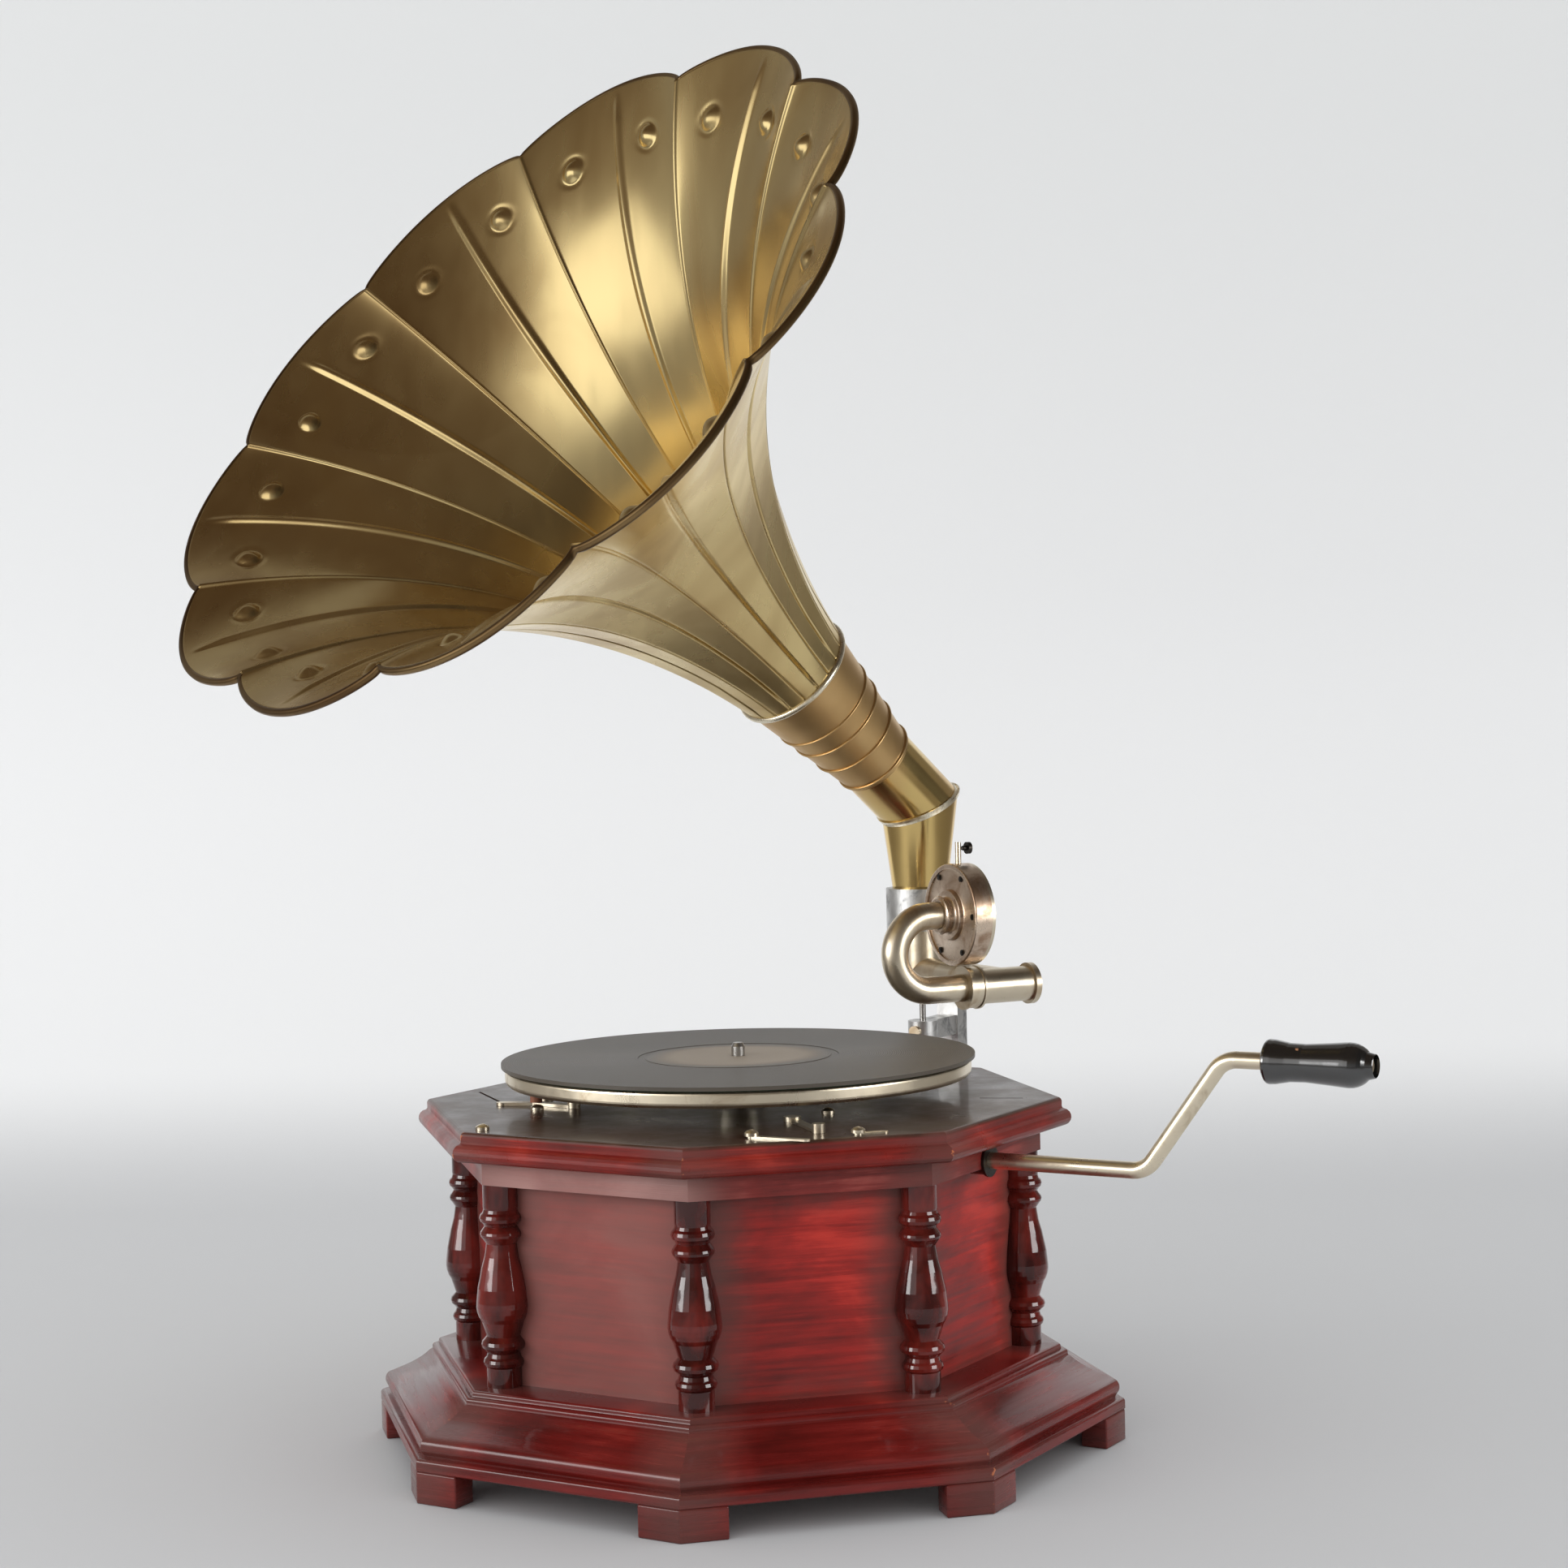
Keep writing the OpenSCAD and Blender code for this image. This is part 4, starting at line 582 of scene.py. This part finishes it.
# The sound box's shell: cast and turned, with a raised rim round a mottled field.
# Its flanged hub sits on the gooseneck's end, and screws hold the front ring to it.
pivot_y = 0.212
arm_height, arm_length, arm_angle = 0.2293, 0.091, math.radians(-32.3)
box_rise, box_back = 0.042, 0.033
quarter = math.pi / 2
box_place = (Matrix.Translation((0, pivot_y, arm_height)) @ Matrix.Rotation(arm_angle, 4, "Z")
             @ Matrix.Translation((arm_length, 0, 0)) @ Matrix.Rotation(quarter, 4, "Z")
             @ Matrix.Translation((-box_back, 0, box_rise)) @ Matrix.Rotation(quarter, 4, "Y"))
outer_rim = ([(29, 11), (29, 1.0)] + bow(28.1, 0.9, 0.9, 0, -90, 4) + [(26.6, 0.02)]
             + bow(26.4, 0.4, 0.4, -90, -170, 3) + [(25.9, 0.9)])
hub_flange = ([(15.2, 0.9), (14.6, 0.6), (14.3, -1.3)] + bow(13.6, -1.4, 0.6, 0, -90, 3)
              + [(11.4, -2.0), (10.7, -2.3), (10.2, -3.0)])
hub = [(10.15, -5.6)] + bow(10.2, -6.6, 0.8, 80, -90, 6) + [(9.8, -7.6), (9.5, -8)]
bore_and_cavity = [(8.0, -8), (7.95, -1), (6.25, -1), (6.25, 2), (26.6, 2), (26.6, 11)]
shell = swept_ring("soundbox_back", outer_rim + hub_flange + hub + bore_and_cavity, 96)
settle(shell, box_place)
box_nickel = metal("worn_box_nickel", clean=(0.74, 0.6, 0.47), tarnish=(0.4, 0.26, 0.17),
                   share=0.6, cloud=45.0, shine=0.22, dull=0.45, relief=0.00005)
box_nickel.on(shell)
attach(shell, "soundbox")
case_and_arm.objects.link(shell)
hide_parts("soundbox_shell")

# The platter's felt: a disc of green wool felt under the record.
# It is glued flat on the platter.
felt = Finish("green_felt", Roughness=0.95)
nap = felt.noise(1500.0, 3.0, 0.7)
felt.set(Base_Color=felt.mix(nap, (0.02, 0.045, 0.025), (0.06, 0.1, 0.06)),
         Normal=felt.bump(nap, 0.0006))
felt.on("platter_felt")

# The record: pressed shellac with a spiral groove, matt grey-brown with dust.
# The label is plain worn paper in the middle.
label_edge, label_whole = 0.06, 0.042
grooves_per_metre = 5200.0
shellac = Finish("shellac_record", Specular_IOR_Level=0.3)
record_x, record_y, _ = shellac.axes()
reach = (record_x * record_x + record_y * record_y) ** 0.5
groove = (reach * grooves_per_metre).math("SINE")
dust = shellac.noise(14.0, 5.0, 0.6)
streaks = shellac.noise(1.0, 3.0, 0.6, shellac.join(reach * 900.0, 0.0, 0.0))
label = shellac.between(reach + dust * 0.016, label_edge, label_whole)
field = shellac.mix(dust * 0.7 + streaks * 0.3, (0.045, 0.038, 0.03), (0.115, 0.096, 0.075))
label_paper = shellac.mix(dust, (0.26, 0.22, 0.175), (0.37, 0.31, 0.25))
shellac.set(Base_Color=shellac.mix(label, field, label_paper),
            Roughness=shellac.between(label, 0.0, 1.0, 0.42, 0.6),
            Normal=shellac.bump(groove * (1.0 - label), 0.00008, 0.7))
shellac.on("record")

# Crank handle: turned hardwood in black lacquer, chipped to bare wood in places.
# It turns on the rod's end behind the end nut.
lacquer = Finish("black_lacquer", Coat_Roughness=0.16, Coat_IOR=1.8, Coat_Weight=1.0)
chip = lacquer.noise(140.0, 3.0, 0.6)
chipped = lacquer.between(chip, 0.70, 0.72)
lacquer.set(Base_Color=lacquer.mix(chipped, (0.006, 0.006, 0.006), (0.32, 0.14, 0.06)),
            Roughness=lacquer.between(chipped, 0.0, 1.0, 0.14, 0.6),
            Normal=lacquer.bump(chip, 0.0002, 0.3))
lacquer.on("crank_handle")

# The horn's bell: eleven gores of brass sheet, soldered along their edges and pressed with a
# middle rib and two dimples each. They swell to a scalloped rim.
petals = 11
petal_turn = 2 * math.pi / petals
first_petal = math.radians(17.3)
horn_angle = math.radians(-106.3)
horn_slope = math.radians(38.4)
mitre = Vector((0, pivot_y, 0.331))
bead_s, bead_r = 0.130, 0.035
rim_s, notch_r = 0.392, 0.211
bell_length = rim_s - bead_s
petal_rise, petal_swell = 0.017, 0.04
sheet = 0.0008
rib_height, rib_half, rib_drift, rib_middle = 0.0018, 0.0032, 0.06, 0.48
seam_height, seam_half = 0.0011, 0.0012
dimple_r, dimple_depth = 0.0072, 0.0034
dimple_back, dimple_side = 0.0165, 0.258
lip_height, lip_half = 0.0004, 0.003
full_size_r = 0.11
gore_columns, gore_rows = 88, 170

to_horn = (Matrix.Translation(mitre) @ Matrix.Rotation(horn_angle, 4, "Z")
           @ Matrix.Rotation(quarter - horn_slope, 4, "Y") @ Matrix.Rotation(first_petal, 4, "Z"))


def flare(s):
    """Radius at distance s from the mitre, in a seam."""
    share = np.clip((s - bead_s) / bell_length, 0, None)
    return bead_r * (notch_r / bead_r) ** (share ** 1.1)


def petal_radius(s, u):
    """Radius at distance s and at share u of a petal's width, before ribs and dimples.

    A petal starts round at the bead, is flat across its width further out, and swells at the
    rim."""
    share = np.clip((s - bead_s) / bell_length, 0, None)
    chord = math.cos(petal_turn / 2) / np.cos((u - 0.5) * petal_turn)
    flatness = np.clip(share / 0.15, 0, 1)
    return (flare(s) * (1 - flatness * (1 - chord))
            + (petal_rise + petal_swell * flare(s)) * share ** 6
            * np.abs(np.sin(np.pi * u)) ** 0.75)


def ridge(distance, half):
    """A rounded ridge, 1 on its crest and 0 from its half width on."""
    return 0.5 + 0.5 * np.cos(np.pi * np.clip(distance / half, -1, 1))


def near(value, place, width):
    return np.exp(-((value - place) / width) ** 2)


def graded(share, density):
    """Shares 0 to 1 spaced closer where the density is higher."""
    fine = np.linspace(0, 1, 2001)
    total = np.concatenate([[0], np.cumsum(density((fine[1:] + fine[:-1]) / 2))])
    return np.interp(share, total / total[-1], fine)


def polar(r, angle, s):
    return np.stack([r * np.cos(angle), r * np.sin(angle), s], axis=-1)


def grid_shares(piece):
    """Places of a unit grid's vertices, from 0 to 1 along both sides."""
    places = np.empty(len(piece.data.vertices) * 3)
    piece.data.vertices.foreach_get("co", places)
    return places.reshape(-1, 3)[:, :2].T + 0.5


deselect()
bpy.ops.mesh.primitive_grid_add(x_subdivisions=gore_columns, y_subdivisions=gore_rows, size=1)
gore = bpy.context.object
columns, rows = grid_shares(gore)
u = graded(columns, lambda v: (1 + 5 * near(v, rib_middle, 0.05) + 4 * near(v, 0, 0.02)
                               + 4 * near(v, 1, 0.02)
                               + 2 * near(np.abs(v - 0.5), dimple_side, 0.06)))
dimple_at = 1 - dimple_back / bell_length
s = bead_s + bell_length * graded(rows, lambda v: (1 + 3.5 * near(v, dimple_at, 0.04)
                                                   + 2.0 * near(v, 1, 0.02)))
base = petal_radius(s, u)
step = 1e-5
lean = (petal_radius(s + step, u) - petal_radius(s - step, u)) / (2 * step)
steep = np.hypot(1, lean)
size = base / full_size_r
across_petal = (u - 0.5) * base * petal_turn
across_rib = (u - 0.5 + rib_drift * ((s - bead_s) / bell_length) ** 2) * base * petal_turn
fade = (np.clip((rim_s - s) * steep / 0.018 - 0.2, 0, 1)
        * np.clip((s - bead_s) / 0.02, 0.3, 1))
inward = rib_height * ridge(across_rib, rib_half * np.clip(size, 0.5, 1.15)) * fade
seam_away = base * petal_turn / 2 - np.abs(across_petal)
inward += seam_height * ridge(seam_away, seam_half * np.clip(size, 0.6, 1.0))
dimple_gap = np.hypot((rim_s - dimple_back - s) * steep,
                      np.abs(across_petal) - dimple_side * base * petal_turn)
inward += dimple_depth * np.clip(1 - (dimple_gap / dimple_r) ** 2, 0, 1) ** 1.3
inward -= lip_height * ridge(dimple_gap - dimple_r * 1.1, lip_half)
pressed = polar(base - inward / steep, u * petal_turn, s + inward * lean / steep)
gore.data.vertices.foreach_set("co", pressed.ravel())
gore.data.update()
thick = gore.modifiers.new("sheet", "SOLIDIFY")
thick.thickness, thick.offset = sheet, 0.0
bpy.ops.object.modifier_apply(modifier="sheet")
bpy.ops.object.mode_set(mode="EDIT")
bpy.ops.mesh.select_all(action="SELECT")
bpy.ops.mesh.normals_make_consistent(inside=False)
bpy.ops.object.mode_set(mode="OBJECT")


def horn_brass(name, clean, tarnish, shine):
    """Old brass sheet: wide tarnish clouds, drawn out smoke and marks of wiping."""
    brass = Finish(name, Metallic=1.0)
    clouds = brass.noise(5.5, 3.0, 0.5, distortion=0.4)
    smoke = brass.noise(14.0, 3.0, 0.5, brass.place((1, 1, 0.55)), 0.6)
    wiped = brass.noise(1.0, 2.0, 0.5, brass.place((70, 70, 14)))
    tarnished = brass.between(clouds * 0.45 + smoke * 0.55, 0.42, 0.68)
    brass.set(Base_Color=brass.mix(tarnished, clean, tarnish),
              Roughness=brass.between(smoke * 0.7 + wiped * 0.3, 0.3, 0.7,
                                      shine - 0.03, shine + 0.12),
              Normal=brass.bump(clouds, 0.0006, 0.2))
    return brass


bell_brass = horn_brass("bell_brass", clean=(0.84, 0.66, 0.32), tarnish=(0.54, 0.37, 0.16),
                        shine=0.22)
for k, piece in enumerate(repeated(gore, petals, "horn_petal_%02d")):
    settle(piece, to_horn @ Matrix.Rotation(k * petal_turn, 4, "Z"))
    bell_brass.on(piece)
    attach(piece, "horn")
    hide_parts("horn_bell")

# The rolled rim: dark brass turned over a steel wire along the petals' edge.
# It is pinched at each seam.
rim_wire, rim_back = 0.0022, 0.0014
rim_around, wire_sides = petals * 48, 10
deselect()
bpy.ops.mesh.primitive_grid_add(x_subdivisions=rim_around, y_subdivisions=wire_sides, size=1)
rim = bpy.context.object
rim.name = "horn_rim"
columns, rows = grid_shares(rim)
turn, roll = columns * 2 * np.pi, rows * 2 * np.pi
rim_radius = petal_radius(np.full(len(turn), rim_s), (columns * petals) % 1.0)
rim.data.vertices.foreach_set("co", polar(rim_radius + rim_wire * (0.4 + np.sin(roll)), turn,
                                          rim_s - rim_back + rim_wire * np.cos(roll)).ravel())
bpy.ops.object.mode_set(mode="EDIT")
bpy.ops.mesh.select_all(action="SELECT")
bpy.ops.mesh.remove_doubles(threshold=0.00002)
bpy.ops.mesh.normals_make_consistent(inside=False)
bpy.ops.object.mode_set(mode="OBJECT")
settle(rim, to_horn)
rim_brass = horn_brass("rim_brass", clean=(0.3, 0.2, 0.09), tarnish=(0.14, 0.08, 0.035),
                       shine=0.28)
rim_brass.on(rim)
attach(rim, "horn")
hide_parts("horn_bell")

# The horn's throat, elbow and solder beads: the throat is copper-coloured brass with raised
# rings, the elbow two mitred tubes of plain brass, and both are joined with bright solder.
throat_brass = horn_brass("throat_brass", clean=(0.66, 0.44, 0.2), tarnish=(0.44, 0.27, 0.11),
                          shine=0.33)
throat_brass.on("horn_throat")
elbow_brass = horn_brass("elbow_brass", clean=(0.8, 0.58, 0.23), tarnish=(0.6, 0.3, 0.17),
                         shine=0.17)
elbow_brass.on("horn_elbow")
solder = metal("bright_solder", clean=(0.9, 0.82, 0.64), tarnish=(0.6, 0.48, 0.3), share=0.4,
               cloud=160.0, shine=0.2, dull=0.45, relief=0.0003)
solder.on("horn_solder")
